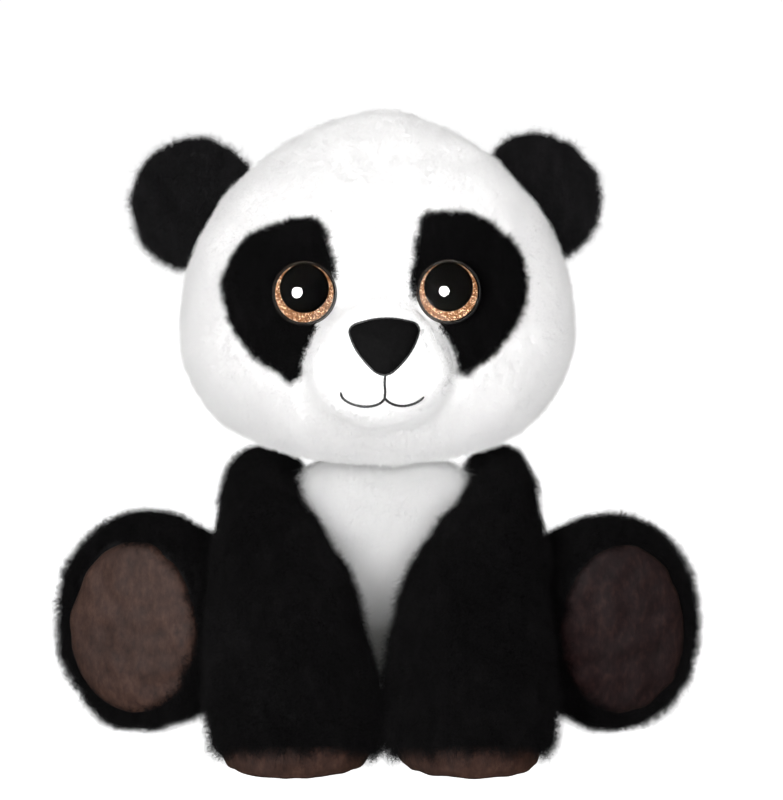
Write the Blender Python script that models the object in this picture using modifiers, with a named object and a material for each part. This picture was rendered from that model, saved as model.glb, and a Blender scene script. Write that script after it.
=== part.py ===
"""Seated plush panda: sewn fabric panels over separate stuffing, plastic safety eyes,
and limbs, ears and head that bend at their seams. Metres, +Z up, front faces -Y.
The origin is on the floor, under the middle of the bounding box."""

import math

import bmesh
import bpy
from mathutils import Matrix, Vector

for old in list(bpy.data.objects):
    bpy.data.objects.remove(old, do_unlink=True)

# ---------------------------------------------------------------- dimensions, in millimetres
WALL = 1.5            # backing fabric with its pressed-down pile
GAP = 0.45            # clearance between neighbouring pieces
SEAM = 0.4            # half the width left open at each seam

HEAD_W, HEAD_FRONT, HEAD_BACK = 80.3, 66.0, 60.0   # half width, half depth to front and back
HEAD_MID_Z, HEAD_TOP, HEAD_LOW = 160.0, 88.0, 59.0  # widest height, rise above it, drop below it
HEAD_Y = -8.0

MUZZLE = Vector((0.0, -70.0, 151.0))
MUZZLE_W, MUZZLE_D, MUZZLE_UP, MUZZLE_DOWN = 30.5, 27.0, 31.0, 22.5

EYE_R = 12.0          # 24 mm safety eyes
EYES = {"left": (-29.0, 180.0), "right": (27.0, 180.6)}
EYE_AXIS = {"left": Vector((-0.20, -0.96, 0.16)).normalized(), "right": Vector((0.17, -0.965, 0.16)).normalized()}

NECK = Vector((0.0, -8.0, 100.0))
NECK_R = 15.0

EARS = {"left": (-75.0, 208.0, 26.0), "right": (66.0, 212.5, 25.5)}
EAR_Y = -3.0
EAR_T = 7.0           # half thickness at the middle
EAR_LIFT = 2.6        # ear base above the head fabric

TORSO_TOP, TORSO_MID = 97.0, 44.0
SHOULDER = Vector((44.0, -9.0, 81.0))
SHOULDER_R = 23.5
HIP = Vector((46.0, 22.0, 31.0))
HIP_R = 24.5

PAW_X = 32.6
# foot centre and half sizes of each sole, and the way the sole faces
FEET = {
    "left": {"c": Vector((-99.0, -50.0, 44.0)), "rx": 31.5, "rz": 44.0, "n": Vector((-0.30, -0.95, 0.10)).normalized()},
    "right": {"c": Vector((97.0, -50.0, 43.0)), "rx": 30.5, "rz": 43.0, "n": Vector((0.26, -0.96, 0.08)).normalized()},
}

# grid sizes: segments around, segments from pole to pole
HEAD_GRID = (20, 12)
FILL_SCALE = 0.957     # head stuffing against the head's outside
PATCH_GRID = (28, 18)
MUZZLE_GRID = (16, 10)
EAR_GRID = (16, 8)
TORSO_GRID = (20, 12)
LIMB_GRID, LIMB_FILL_GRID = (16, 13), (12, 10)
BALL_SEG = 14

# ---------------------------------------------------------------- collections, materials, bodies
PARTS = bpy.data.collections.new("plush_panda")
CUTTERS = bpy.data.collections.new("cutters")
for col in (PARTS, CUTTERS):
    bpy.context.scene.collection.children.link(col)

_mats = {}


def mat(name, color, rough, metallic=0.0, alpha=1.0, transmission=0.0):
    if name not in _mats:
        m = bpy.data.materials.new(name)
        m.use_nodes = True
        b = m.node_tree.nodes["Principled BSDF"]
        b.inputs["Base Color"].default_value = (*color, 1.0)
        b.inputs["Roughness"].default_value = rough
        b.inputs["Metallic"].default_value = metallic
        b.inputs["Transmission Weight"].default_value = transmission
        m.diffuse_color = (*color, 1.0)
        _mats[name] = m
    return _mats[name]


WHITE = ("white_plush", (0.86, 0.86, 0.85), 0.95)
LONG_WHITE = ("long_white_plush", (0.83, 0.83, 0.82), 0.95)
BLACK = ("black_plush", (0.012, 0.012, 0.013), 0.9)
BROWN = ("brown_velour", (0.075, 0.036, 0.024), 0.85)
FILL = ("polyester_fibrefill", (0.8, 0.8, 0.8), 1.0)
SUEDE = ("black_suedette", (0.015, 0.015, 0.015), 0.75)
THREAD = ("black_thread", (0.01, 0.01, 0.01), 0.6)
SEAM_THREAD = ("white_thread", (0.8, 0.8, 0.8), 0.6)
CLEAR = ("clear_plastic", (0.95, 0.95, 0.95), 0.03, 0.0, 1.0, 1.0)
GLITTER = ("copper_glitter", (0.55, 0.30, 0.20), 0.35, 0.8)
PUPIL = ("black_gloss_plastic", (0.01, 0.01, 0.01), 0.1)
SHANK = ("black_plastic", (0.02, 0.02, 0.02), 0.45)
WASHER = ("white_plastic", (0.75, 0.75, 0.73), 0.4)
BAG = ("pellet_bag_cloth", (0.7, 0.7, 0.68), 0.9)

ROOT = bpy.data.objects.new("panda_origin", None)
PARTS.objects.link(ROOT)
BODIES = {}


def body(name, pivot):
    e = bpy.data.objects.new("axis_" + name, None)
    e.empty_display_size = 0.01
    e.location = Vector(pivot) * 0.001
    e.parent = ROOT
    PARTS.objects.link(e)
    BODIES[name] = (e, Vector(pivot))
    return e


def put(name, bm, body_name, look, smooth=True):
    """One finished part on its body, from a mesh in millimetres."""
    e, pivot = BODIES[body_name]
    bm.transform(Matrix.Scale(0.001, 4) @ Matrix.Translation(-pivot))
    me = bpy.data.meshes.new(name)
    bm.to_mesh(me)
    bm.free()
    if smooth:
        me.shade_smooth()
        me.set_sharp_from_angle(angle=math.radians(40))
    me.materials.append(mat(*look))
    ob = bpy.data.objects.new(name, me)
    ob.parent = e
    PARTS.objects.link(ob)
    return ob


def cutter(name, bm):
    bm.transform(Matrix.Scale(0.001, 4))
    me = bpy.data.meshes.new(name)
    bm.to_mesh(me)
    bm.free()
    ob = bpy.data.objects.new(name, me)
    ob.parent = ROOT
    ob.hide_render = True
    ob.display_type = "WIRE"
    CUTTERS.objects.link(ob)
    return ob


def boolean(ob, tool, operation="DIFFERENCE"):
    m = ob.modifiers.new(operation.lower() + "_" + tool.name, "BOOLEAN")
    m.operation = operation
    m.solver = "EXACT"
    m.object = tool
    return m


def solidify(ob, wall=WALL):
    m = ob.modifiers.new("fabric", "SOLIDIFY")
    m.thickness = wall * 0.001
    m.offset = -1.0
    m.use_even_offset = True
    m.use_rim = True
    return m


# ---------------------------------------------------------------- shape helpers
def surface(fn, useg, vseg, off=0.0):
    """A sphere's grid carried onto fn(s, phi): s runs 1 to -1 from pole to pole."""
    bm = bmesh.new()
    bmesh.ops.create_uvsphere(bm, u_segments=useg, v_segments=vseg, radius=1.0)
    for v in bm.verts:
        s = max(-1.0, min(1.0, v.co.z))
        v.co = Vector(fn(s, math.atan2(v.co.y, v.co.x)))
    bmesh.ops.recalc_face_normals(bm, faces=bm.faces)
    if bm.calc_volume(signed=True) < 0:
        bmesh.ops.reverse_faces(bm, faces=bm.faces)
    bm.normal_update()
    if off:
        normals = [v.normal.copy() for v in bm.verts]
        for v, n in zip(bm.verts, normals):
            v.co += n * off
    return bm


def keep(bm, point, normal, fill=False):
    """Keeps what lies on the normal's side of a plane."""
    geom = bm.verts[:] + bm.edges[:] + bm.faces[:]
    r = bmesh.ops.bisect_plane(bm, geom=geom, dist=1e-4, plane_co=Vector(point), plane_no=Vector(normal), clear_inner=True)
    if fill:
        edges = [g for g in r["geom_cut"] if isinstance(g, bmesh.types.BMEdge)]
        edges = [e for e in edges if e.is_boundary]
        bmesh.ops.holes_fill(bm, edges=edges, sides=0)
        bmesh.ops.recalc_face_normals(bm, faces=bm.faces)
    return bm


def ball(centre, r, seg=BALL_SEG):
    bm = bmesh.new()
    bmesh.ops.create_uvsphere(bm, u_segments=seg, v_segments=seg // 2, radius=r)
    bm.transform(Matrix.Translation(Vector(centre)))
    return bm


def frame_at(point, axis, up=Vector((0, 0, 1))):
    """Local +Z along axis, local +Y as near to up as it can be."""
    z = Vector(axis).normalized()
    x = up.cross(z).normalized()
    y = z.cross(x)
    m = Matrix((x, y, z)).transposed().to_4x4()
    m.translation = Vector(point)
    return m


def turned(profile, place, steps=16):
    """A profile of (radius, height) points turned about the axis of place."""
    bm = bmesh.new()
    verts = [bm.verts.new((r, 0.0, h)) for r, h in profile]
    edges = [bm.edges.new((a, b)) for a, b in zip(verts, verts[1:])]
    if profile[0][0] > 0 and profile[-1][0] > 0:
        edges.append(bm.edges.new((verts[-1], verts[0])))
    bmesh.ops.spin(bm, geom=verts + edges, axis=(0, 0, 1), cent=(0, 0, 0), angle=2 * math.pi, steps=steps, use_duplicate=False)
    bmesh.ops.remove_doubles(bm, verts=bm.verts, dist=1e-4)
    bmesh.ops.recalc_face_normals(bm, faces=bm.faces)
    bm.transform(place)
    return bm


def power(v, p):
    return math.copysign(abs(v) ** p, v)


def rounded(s, p):
    return max(0.0, 1.0 - abs(s) ** p) ** (1.0 / p)


def bezier(points, t):
    pts = [Vector(p) for p in points]
    while len(pts) > 1:
        pts = [a.lerp(b, t) for a, b in zip(pts, pts[1:])]
    return pts[0]


def loop_through(points, n):
    """A smooth closed loop through 2D points, n steps between each pair."""
    out = []
    m = len(points)
    for i in range(m):
        p0, p1, p2, p3 = (Vector(points[(i + k - 1) % m]) for k in range(4))
        for k in range(n):
            t = k / n
            out.append(0.5 * ((2 * p1) + (p2 - p0) * t + (2 * p0 - 5 * p1 + 4 * p2 - p3) * t * t + (3 * p1 - 3 * p2 + p3 - p0) * t ** 3))
    return out


def prism_y(outline, y0, y1):
    """An outline in X and Z, pushed through from y0 to y1."""
    bm = bmesh.new()
    f = bm.faces.new([bm.verts.new((p[0], y0, p[1])) for p in outline])
    r = bmesh.ops.extrude_face_region(bm, geom=[f])
    for g in r["geom"]:
        if isinstance(g, bmesh.types.BMVert):
            g.co.y = y1
    bmesh.ops.recalc_face_normals(bm, faces=bm.faces)
    return bm


# ---------------------------------------------------------------- head
def head_half_width(z):
    t = (z - HEAD_MID_Z) / HEAD_TOP if z > HEAD_MID_Z else (HEAD_MID_Z - z) / HEAD_LOW
    t = max(0.0, min(1.0, t))
    if z > HEAD_MID_Z:
        return HEAD_W * (1 - t * t) ** (1 / 1.7)
    return HEAD_W * (1 - t ** 2.3) ** (1 / 2.3)


def head_fn(s, phi):
    z = HEAD_MID_Z + (HEAD_TOP if s > 0 else HEAD_LOW) * math.copysign(abs(s) ** 1.05, s)
    w = head_half_width(z)
    depth = (HEAD_FRONT if math.sin(phi) < 0 else HEAD_BACK) * (w / HEAD_W) ** 0.95
    return (w * power(math.cos(phi), 2 / 2.2), HEAD_Y + depth * power(math.sin(phi), 2 / 2.2), z)


def head_front_y(x, z):
    w = head_half_width(z)
    depth = HEAD_FRONT * (w / HEAD_W) ** 0.95
    return HEAD_Y - depth * max(0.0, 1 - (abs(x) / w) ** 2.2) ** (1 / 2.2)


body("torso", (0, 0, 0))
body("neck", NECK)
body("head", NECK)

neck_hole = cutter("cut_neck", ball(NECK, NECK_R + 0.7))
head_clear = cutter("cut_head_clear", surface(head_fn, *HEAD_GRID, off=0.4))

face = put("face_panel", keep(surface(head_fn, *HEAD_GRID), (0, HEAD_Y - SEAM, 0), (0, -1, 0)), "head", WHITE)
solidify(face)
crown = put("head_back_panel", keep(surface(head_fn, *HEAD_GRID), (0, HEAD_Y + SEAM, 0), (0, 1, 0)), "head", WHITE)
solidify(crown)
head_fill_bm = surface(head_fn, *HEAD_GRID)
head_middle = Vector((0, HEAD_Y, HEAD_MID_Z))
for v in head_fill_bm.verts:
    v.co = head_middle + (v.co - head_middle) * FILL_SCALE
head_fill = put("head_stuffing", head_fill_bm, "head", FILL)
for ob in (face, crown, head_fill):
    boolean(ob, neck_hole)
neck_fill = put("neck_stuffing", ball(NECK, NECK_R), "neck", FILL)


# ---------------------------------------------------------------- muzzle, nose and mouth
def muzzle_fn(grow):
    def fn(s, phi):
        up = MUZZLE_UP if s > 0 else MUZZLE_DOWN
        k = rounded(s, 2.0)
        taper = 1.0 - 0.12 * max(0.0, s)
        return (
            MUZZLE.x + (MUZZLE_W + grow) * taper * k * math.cos(phi),
            MUZZLE.y + (MUZZLE_D + grow) * k * math.sin(phi),
            MUZZLE.z + (up + grow) * s,
        )
    return fn


def muzzle_y(x, z, grow=0.0):
    s = (z - MUZZLE.z) / ((MUZZLE_UP if z > MUZZLE.z else MUZZLE_DOWN) + grow)
    k2 = max(0.0, 1 - s * s)
    q = x / ((MUZZLE_W + grow) * (1.0 - 0.12 * max(0.0, s)))
    return MUZZLE.y - (MUZZLE_D + grow) * math.sqrt(max(0.0, k2 - q * q))


muzzle_inner = cutter("cut_muzzle_inner", surface(muzzle_fn(-WALL), *MUZZLE_GRID))
muzzle_clear = cutter("cut_muzzle_clear", surface(muzzle_fn(0.4), *MUZZLE_GRID))
muzzle = put("muzzle_panel", surface(muzzle_fn(0.0), *MUZZLE_GRID), "head", WHITE)
boolean(muzzle, head_clear)
boolean(muzzle, muzzle_inner)
muzzle_fill = put("muzzle_stuffing", surface(muzzle_fn(-(WALL + GAP + 0.3)), *MUZZLE_GRID), "head", FILL)
boolean(muzzle_fill, head_clear)

NOSE_W, NOSE_H, NOSE_T = 13.2, 10.0, 4.6
NOSE_C = Vector((0.6, -94.2, 163.6))
NOSE_TILT = math.radians(24)


def nose_fn(s, phi):
    # rounded triangle, wide at the top, with a domed front
    a, b = math.cos(phi), math.sin(phi)
    k = rounded(s, 2.6)
    z = NOSE_H * k * power(b, 0.9)
    narrow = 0.72 + 0.30 * (z / NOSE_H) if z < 0 else 0.72 + 0.28 * (z / NOSE_H) ** 0.6
    x = NOSE_W * k * power(a, 0.85) * max(0.2, narrow + 0.06)
    y = -NOSE_T * s
    ct, st = math.cos(NOSE_TILT), math.sin(NOSE_TILT)
    return (NOSE_C.x + x, NOSE_C.y + y * ct + z * st, NOSE_C.z + z * ct - y * st)


nose = put("nose", surface(nose_fn, 18, 9), "head", SUEDE)
boolean(nose, muzzle_clear)


def thread(name, points, body_name, look, radius=0.5):
    """A sewn strand, given as points in millimetres."""
    e, pivot = BODIES[body_name]
    cu = bpy.data.curves.new(name, "CURVE")
    cu.dimensions = "3D"
    cu.bevel_depth = radius * 0.001
    cu.bevel_resolution = 1
    cu.use_fill_caps = True
    sp = cu.splines.new("POLY")
    sp.points.add(len(points) - 1)
    for p, co in zip(sp.points, points):
        q = (Vector(co) - pivot) * 0.001
        p.co = (q.x, q.y, q.z, 1.0)
    cu.materials.append(mat(*look))
    ob = bpy.data.objects.new(name, cu)
    ob.parent = e
    PARTS.objects.link(ob)
    return ob


def on_muzzle(x, z):
    return Vector((x, muzzle_y(x, z) - 0.5 - 0.45, z))


MOUTH_Z, MOUTH_TOP = 143.0, 152.0
thread("mouth_thread_centre", [on_muzzle(0.9, MOUTH_TOP - (MOUTH_TOP - MOUTH_Z - 0.7) * i / 6) for i in range(7)], "head", THREAD)
for side, sx in (("left", -1), ("right", 1)):
    pts = []
    for i in range(10):
        t = i / 9
        x = 0.9 + sx * (0.8 + 15.0 * t)
        z = MOUTH_Z - 3.3 * math.sin(math.pi * 0.5 * min(1.0, t / 0.5)) + 4.0 * max(0.0, t - 0.5) ** 1.5 * 2.2
        pts.append(on_muzzle(x, z))
    thread("mouth_thread_" + side, pts, "head", THREAD)

# ---------------------------------------------------------------- eyes and eye patches
PATCH = {
    # an egg that leans outward and comes to a point low on the inner side
    "left": [(-36, 205.5), (-24, 205.0), (-18.6, 190), (-17.6, 176), (-26.5, 163.5), (-31.0, 149.5), (-40, 150.5), (-54, 163), (-59.6, 181), (-50.5, 199)],
    "right": [(34, 208), (19, 207.5), (14.0, 194), (14.2, 179), (24.5, 166.5), (31.0, 152), (39, 153.5), (50.5, 165), (55.6, 184), (46.5, 201.5)],
}
for side in ("left", "right"):
    ex, ez = EYES[side]
    axis = EYE_AXIS[side]
    on_face = Vector((ex, head_front_y(ex, ez), ez))
    base = on_face + axis * 3.6           # back of the eye's base plate
    place = frame_at(base, axis)

    hole = cutter("cut_post_" + side, turned([(0, 4), (3.2, 4), (3.2, -20), (0, -20)], place, 12))
    pocket = cutter("cut_washer_" + side, turned([(0, -2), (9.8, -2), (9.8, -9.6), (4.2, -9.6), (4.2, -15.5), (0, -15.5)], place, 16))
    patch_cut = cutter("cut_patch_" + side, prism_y(loop_through(PATCH[side], 4), -100, -25))

    shell = keep(surface(head_fn, *PATCH_GRID, off=2.2), (0, -20, 0), (0, -1, 0))
    patch = put("eye_patch_" + side, shell, "head", BLACK)
    solidify(patch, 1.3)
    boolean(patch, patch_cut, "INTERSECT")
    boolean(patch, muzzle_clear)
    boolean(patch, hole)
    boolean(face, hole)
    boolean(head_fill, pocket)

    put("eye_shank_" + side, turned([(0, 1.0), (EYE_R - 0.5, 1.0), (EYE_R - 0.5, 0.0), (2.6, 0.0), (2.6, -13.0), (1.8, -14.0), (0, -14.0)], place), "head", SHANK)
    put("eye_glitter_" + side, turned([(0, 1.8), (10.9, 1.8), (10.9, 1.3), (0, 1.3)], place), "head", GLITTER)
    pupil_place = place @ Matrix.Translation((0, 1.7, 0))
    put("eye_pupil_" + side, turned([(0, 2.6), (8.2, 2.6), (8.2, 2.1), (0, 2.1)], pupil_place), "head", PUPIL)
    rise = 5.2
    sphere_r = (EYE_R ** 2 + rise ** 2) / (2 * rise)
    dome = []
    for i in range(6):
        a = math.asin(EYE_R / sphere_r) * i / 5
        dome.append((sphere_r * math.sin(a), 1.9 + rise - sphere_r * (1 - math.cos(a))))
    put("eye_lens_" + side, turned(dome + [(EYE_R, 1.3), (11.25, 1.3), (11.25, 3.0), (0, 3.0)], place, 20), "head", CLEAR)
    put("eye_washer_" + side, turned([(2.9, -7.6), (9.0, -7.6), (9.0, -8.8), (4.0, -8.8), (3.6, -11.2), (2.9, -11.2)], place), "head", WASHER)

# ---------------------------------------------------------------- ears
EAR_AXES = {}
for side in ("left", "right"):
    ex, ez, er = EARS[side]
    sx = -1.0 if side == "left" else 1.0
    # nearest point of the head's outline, its outward direction and its tangent
    best = min((abs(complex(sx * head_half_width(z / 4.0), z / 4.0) - complex(ex, ez)), z / 4.0) for z in range(720, 960))
    zb = best[1]
    dz = 0.5
    tangent = Vector((sx * (head_half_width(zb + dz) - head_half_width(zb - dz)), 0, 2 * dz)).normalized()
    outward = Vector((tangent.z * sx, 0, -tangent.x * sx)).normalized()
    seat = Vector((sx * head_half_width(zb), EAR_Y, zb)) + outward * EAR_LIFT
    centre = Vector((ex, EAR_Y, ez))
    facing = Vector((sx * 0.16, -0.98, 0.08)).normalized()
    along = tangent
    out_dir = facing.cross(along)
    if out_dir.dot(outward) < 0:
        out_dir = -out_dir
    out_dir.normalize()
    body("ear_" + side, seat)
    EAR_AXES[side] = (seat.copy(), along.copy())
    lift = (seat - centre).dot(outward)

    def ear_fn(s, phi, inset=0.0, centre=centre, along=along, out_dir=out_dir, facing=facing, er=er):
        k = rounded(s, 2.2)
        return centre + along * ((er - inset) * k * math.cos(phi)) + out_dir * ((er - inset) * k * math.sin(phi)) + facing * ((EAR_T - 0.7 * inset) * s)

    cut_at = centre + out_dir * lift
    mid = centre
    for half, sign, look in (("front", 1, BLACK), ("back", -1, BLACK)):
        bm = surface(ear_fn, *EAR_GRID)
        keep(bm, cut_at + out_dir * 0.01, out_dir)
        keep(bm, mid + facing * sign * 0.7, facing * sign)
        ob = put("ear_%s_%s" % (half, side), bm, "ear_" + side, look)
        solidify(ob, 1.0)
    bm = surface(lambda s, phi: ear_fn(s, phi, 3.4), *EAR_GRID)
    keep(bm, cut_at + out_dir * 0.4, out_dir, fill=True)
    put("ear_filling_" + side, bm, "ear_" + side, FILL)

# ---------------------------------------------------------------- torso
def torso_fn(s, phi, inset=0.0):
    z = TORSO_MID + (TORSO_TOP - TORSO_MID - inset if s > 0 else 50.0 - inset) * s
    k = rounded(s, 2.4)
    h = max(0.0, min(1.0, z / TORSO_TOP))
    cy = 36.0 - 44.0 * h ** 1.2
    rx = 52.0 - 10.0 * h - inset
    ry = 38.0 - 6.0 * h - inset
    return (rx * k * math.cos(phi), cy + ry * k * math.sin(phi), max(0.0, z))


def lean(z):
    return 36.0 - 44.0 * (z / TORSO_TOP)


# the side seam runs up the leaning middle of the torso
side_dir = Vector((0, lean(97) - lean(0), 97.0)).normalized()
front_n = Vector((0, -side_dir.z, side_dir.y)).normalized()
side_pt = Vector((0, lean(0), 0))

limb_balls = []
for sx, nm in ((-1, "left"), (1, "right")):
    limb_balls.append(cutter("cut_shoulder_" + nm, ball((sx * SHOULDER.x, SHOULDER.y, SHOULDER.z), SHOULDER_R + 1.0)))
    limb_balls.append(cutter("cut_hip_" + nm, ball((sx * HIP.x, HIP.y, HIP.z), HIP_R + 1.0)))

BELLY_Z, YOKE_Z, SEAT_Z = 40.0, 62.0, 2.4


def torso_panel(name, look, planes, cuts):
    bm = surface(torso_fn, *TORSO_GRID)
    for point, normal in planes:
        keep(bm, Vector(point) + Vector(normal) * SEAM, normal)
    ob = put(name, bm, "torso", look)
    solidify(ob)
    for b in cuts:
        boolean(ob, b)
    return ob


shoulders, hips = [limb_balls[0], limb_balls[2]], [limb_balls[1], limb_balls[3]]


up, down = Vector((0, 0, 1)), Vector((0, 0, -1))
torso_panel("chest_panel", LONG_WHITE, [(side_pt, front_n), ((0, 0, BELLY_Z), up)], [neck_hole] + shoulders + hips)
torso_panel("belly_panel", WHITE, [(side_pt, front_n), ((0, 0, BELLY_Z), down), ((0, 0, SEAT_Z), up)], hips)
torso_panel("shoulder_yoke", BLACK, [(side_pt, -front_n), ((0, 0, YOKE_Z), up)], [neck_hole] + shoulders)
torso_panel("back_panel", WHITE, [(side_pt, -front_n), ((0, 0, YOKE_Z), down), ((0, 0, SEAT_Z), up)], hips)
bm = surface(torso_fn, *TORSO_GRID)
keep(bm, (0, 0, SEAT_Z - SEAM), down, fill=True)
put("seat_panel", bm, "torso", WHITE)

PELLET_TOP = 20.0


def torso_fill_fn(s, phi):
    return torso_fn(s, phi, 3.2)


bm = surface(torso_fill_fn, *TORSO_GRID)
keep(bm, (0, 0, PELLET_TOP + 0.4), up, fill=True)
fill = put("torso_stuffing", bm, "torso", FILL)
boolean(fill, neck_hole)
bm = surface(torso_fill_fn, *TORSO_GRID)
keep(bm, (0, 0, PELLET_TOP), down, fill=True)
keep(bm, (0, 0, SEAT_Z + 0.4), up, fill=True)
pellets = put("pellet_bag", bm, "torso", BAG)
for b in limb_balls:
    boolean(fill, b)
for b in (limb_balls[1], limb_balls[3]):
    boolean(pellets, b)

ring = [Vector((NECK.x + 16.6 * math.cos(a), NECK.y + 16.6 * math.sin(a), 97.2)) for a in (2 * math.pi * i / 20 for i in range(20))]
seam_ob = thread("neck_seam_thread", ring, "torso", SEAM_THREAD, 0.5)
seam_ob.data.splines[0].use_cyclic_u = True


# ---------------------------------------------------------------- limbs
def limb_fn(path, ra, rb, across, p_root, p_tip, inset=0.0, floor=0.0, u0=0.0, u1=1.0):
    def fn(s, phi):
        u = u0 + (u1 - u0) * (1 - s) / 2
        e = 1e-3
        c = bezier(path, u)
        t = (bezier(path, min(1, u + e)) - bezier(path, max(0, u - e))).normalized()
        a = (across - t * across.dot(t)).normalized()
        b = t.cross(a)
        k = rounded(s, p_root if s > 0 else p_tip)
        q = c + a * ((ra(u) - inset) * k * math.cos(phi)) + b * ((rb(u) - inset) * k * math.sin(phi))
        q.z = max(floor, q.z)
        return q
    return fn


INSET = 3.0
ARM_RA = (14.0, 18.5, 40.0)  # half width from shoulder to paw
ARM_RB = (16.0, 21.0, 37.0)  # half depth


def mix(a, b, c, u):
    """Quadratic run from a, by way of b, to c."""
    return a * (1 - u) ** 2 + 2 * b * u * (1 - u) + c * u * u


for side, sx in (("left", -1.0), ("right", 1.0)):
    # arm
    body("arm_" + side, (sx * SHOULDER.x, SHOULDER.y, SHOULDER.z))
    path = [(sx * 47.0, 10.0, 88.0), (sx * 50.5, -36.0, 83.0), (sx * 38.0, -86.0, 70.0), (sx * PAW_X, -101.0, -7.0)]
    fn = limb_fn(path, lambda u: mix(*ARM_RA, u), lambda u: mix(*ARM_RB, u), Vector((1, 0, 0)), 2.6, 3.4)
    pad_pt = Vector((sx * PAW_X, -97.0, 9.5))
    pad_n = Vector((0, -0.247, -0.969)).normalized()
    bm = surface(fn, *LIMB_GRID)
    keep(bm, pad_pt - pad_n * SEAM, -pad_n)
    arm = put("arm_cover_" + side, bm, "arm_" + side, BLACK)
    solidify(arm)
    bm = surface(fn, *LIMB_GRID)
    keep(bm, pad_pt + pad_n * SEAM, pad_n)
    pad = put("paw_pad_" + side, bm, "arm_" + side, BROWN)
    solidify(pad)
    fn = limb_fn(path, lambda u: mix(*ARM_RA, u), lambda u: mix(*ARM_RB, u), Vector((1, 0, 0)), 2.6, 3.4, INSET, WALL + GAP + 0.2, 0.03, 0.955)
    put("arm_stuffing_" + side, surface(fn, *LIMB_FILL_GRID), "arm_" + side, FILL)

    # leg
    f = FEET[side]
    body("leg_" + side, (sx * HIP.x, HIP.y, HIP.z))
    c, n = f["c"], f["n"]
    path = [(sx * 38.0, 41.0, 29.0), (sx * 60.0, 10.0, 28.0), tuple(c - n * 30.0), tuple(c + n * 4.0)]
    fn = limb_fn(path, lambda u, f=f: mix(20.0, 26.0, f["rx"] + 5.0, u), lambda u, f=f: mix(21.0, 27.0, f["rz"] + 8.0, u), Vector((n.y, -n.x, 0)).normalized(), 2.6, 5.0)
    bm = surface(fn, *LIMB_GRID)
    keep(bm, c - n * SEAM, -n)
    leg = put("leg_cover_" + side, bm, "leg_" + side, BLACK)
    solidify(leg)
    bm = surface(fn, *LIMB_GRID)
    keep(bm, c + n * SEAM, n, fill=True)
    put("foot_sole_" + side, bm, "leg_" + side, BROWN)
    bm = surface(fn, *LIMB_FILL_GRID, off=-(WALL + GAP + 0.9))
    keep(bm, c - n * 0.8, -n, fill=True)
    put("leg_stuffing_" + side, bm, "leg_" + side, FILL)

# ---------------------------------------------------------------- centre the bounding box over the origin
bpy.context.view_layer.update()
dg = bpy.context.evaluated_depsgraph_get()
lo, hi = Vector((1e9,) * 3), Vector((-1e9,) * 3)
for ob in PARTS.objects:
    if ob.type == "EMPTY":
        continue
    ev = ob.evaluated_get(dg)
    me = ev.to_mesh()
    for v in me.vertices:
        w = ob.matrix_world @ v.co
        lo = Vector(map(min, lo, w))
        hi = Vector(map(max, hi, w))
    ev.to_mesh_clear()
ROOT.location = (-(lo.x + hi.x) / 2, -(lo.y + hi.y) / 2, -lo.z)
bpy.context.view_layer.update()
print("shift_mm", [round(v * 1000, 4) for v in ROOT.location], "size_mm", [round(v * 1000, 2) for v in (hi - lo)])
for name, (e, pivot) in BODIES.items():
    print("body", name, [round(v, 6) for v in e.matrix_world.translation])
for side, (seat, along) in EAR_AXES.items():
    print("ear axis", side, [round(v, 5) for v in along])
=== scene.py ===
"""Looks for the seated plush panda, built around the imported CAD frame.
Design coordinates are in millimetres, with the neck pivot at (0, -8, 100); P() carries them to the frame."""

import json
import math

import bmesh
import bpy
import numpy as np
from mathutils import Matrix, Vector, noise


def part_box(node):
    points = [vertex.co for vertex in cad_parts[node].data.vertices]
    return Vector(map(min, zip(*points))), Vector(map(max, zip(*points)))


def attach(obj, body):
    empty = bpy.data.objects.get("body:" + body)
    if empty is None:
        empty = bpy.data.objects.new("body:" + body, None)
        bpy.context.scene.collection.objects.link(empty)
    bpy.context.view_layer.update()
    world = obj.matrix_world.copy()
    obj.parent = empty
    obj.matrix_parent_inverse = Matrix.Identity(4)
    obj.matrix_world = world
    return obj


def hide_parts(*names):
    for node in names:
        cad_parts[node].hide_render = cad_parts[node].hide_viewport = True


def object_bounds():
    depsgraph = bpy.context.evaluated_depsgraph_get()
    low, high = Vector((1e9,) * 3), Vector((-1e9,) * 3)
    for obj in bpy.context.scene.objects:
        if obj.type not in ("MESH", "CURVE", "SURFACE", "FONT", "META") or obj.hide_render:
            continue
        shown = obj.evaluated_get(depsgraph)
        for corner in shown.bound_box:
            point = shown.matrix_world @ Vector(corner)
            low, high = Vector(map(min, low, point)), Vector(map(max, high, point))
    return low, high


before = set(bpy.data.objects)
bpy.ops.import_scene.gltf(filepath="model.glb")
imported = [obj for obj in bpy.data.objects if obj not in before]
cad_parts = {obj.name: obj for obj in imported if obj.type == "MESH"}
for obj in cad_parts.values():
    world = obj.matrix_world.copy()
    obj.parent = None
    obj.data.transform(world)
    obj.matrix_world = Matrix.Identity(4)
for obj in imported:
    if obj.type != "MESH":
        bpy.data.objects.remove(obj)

CAD_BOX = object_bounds()

# ---------------------------------------------------------------- frame to design coordinates
_lo, _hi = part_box("neck_stuffing")
SHIFT = np.array((_lo + _hi) / 2) * 1000.0 - np.array([0.0, -8.0, 100.0])


def P(p):
    """Design millimetres to frame metres."""
    return Vector((np.array(p, float) + SHIFT) * 0.001)


# ---------------------------------------------------------------- camera, light and floor
cam_data = bpy.data.cameras.new("camera")
cam = bpy.data.objects.new("camera", cam_data)
bpy.context.scene.collection.objects.link(cam)
bpy.context.scene.camera = cam
cam_data.sensor_fit = "VERTICAL"
cam_data.sensor_height = 36.0
cam_data.lens = 108.0
cam_data.clip_start, cam_data.clip_end = 0.05, 20.0
cam.location = P((4.4, -984.8, 300.0))
cam.rotation_euler = (math.radians(90 - 10), 0.0, 0.0)

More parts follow.
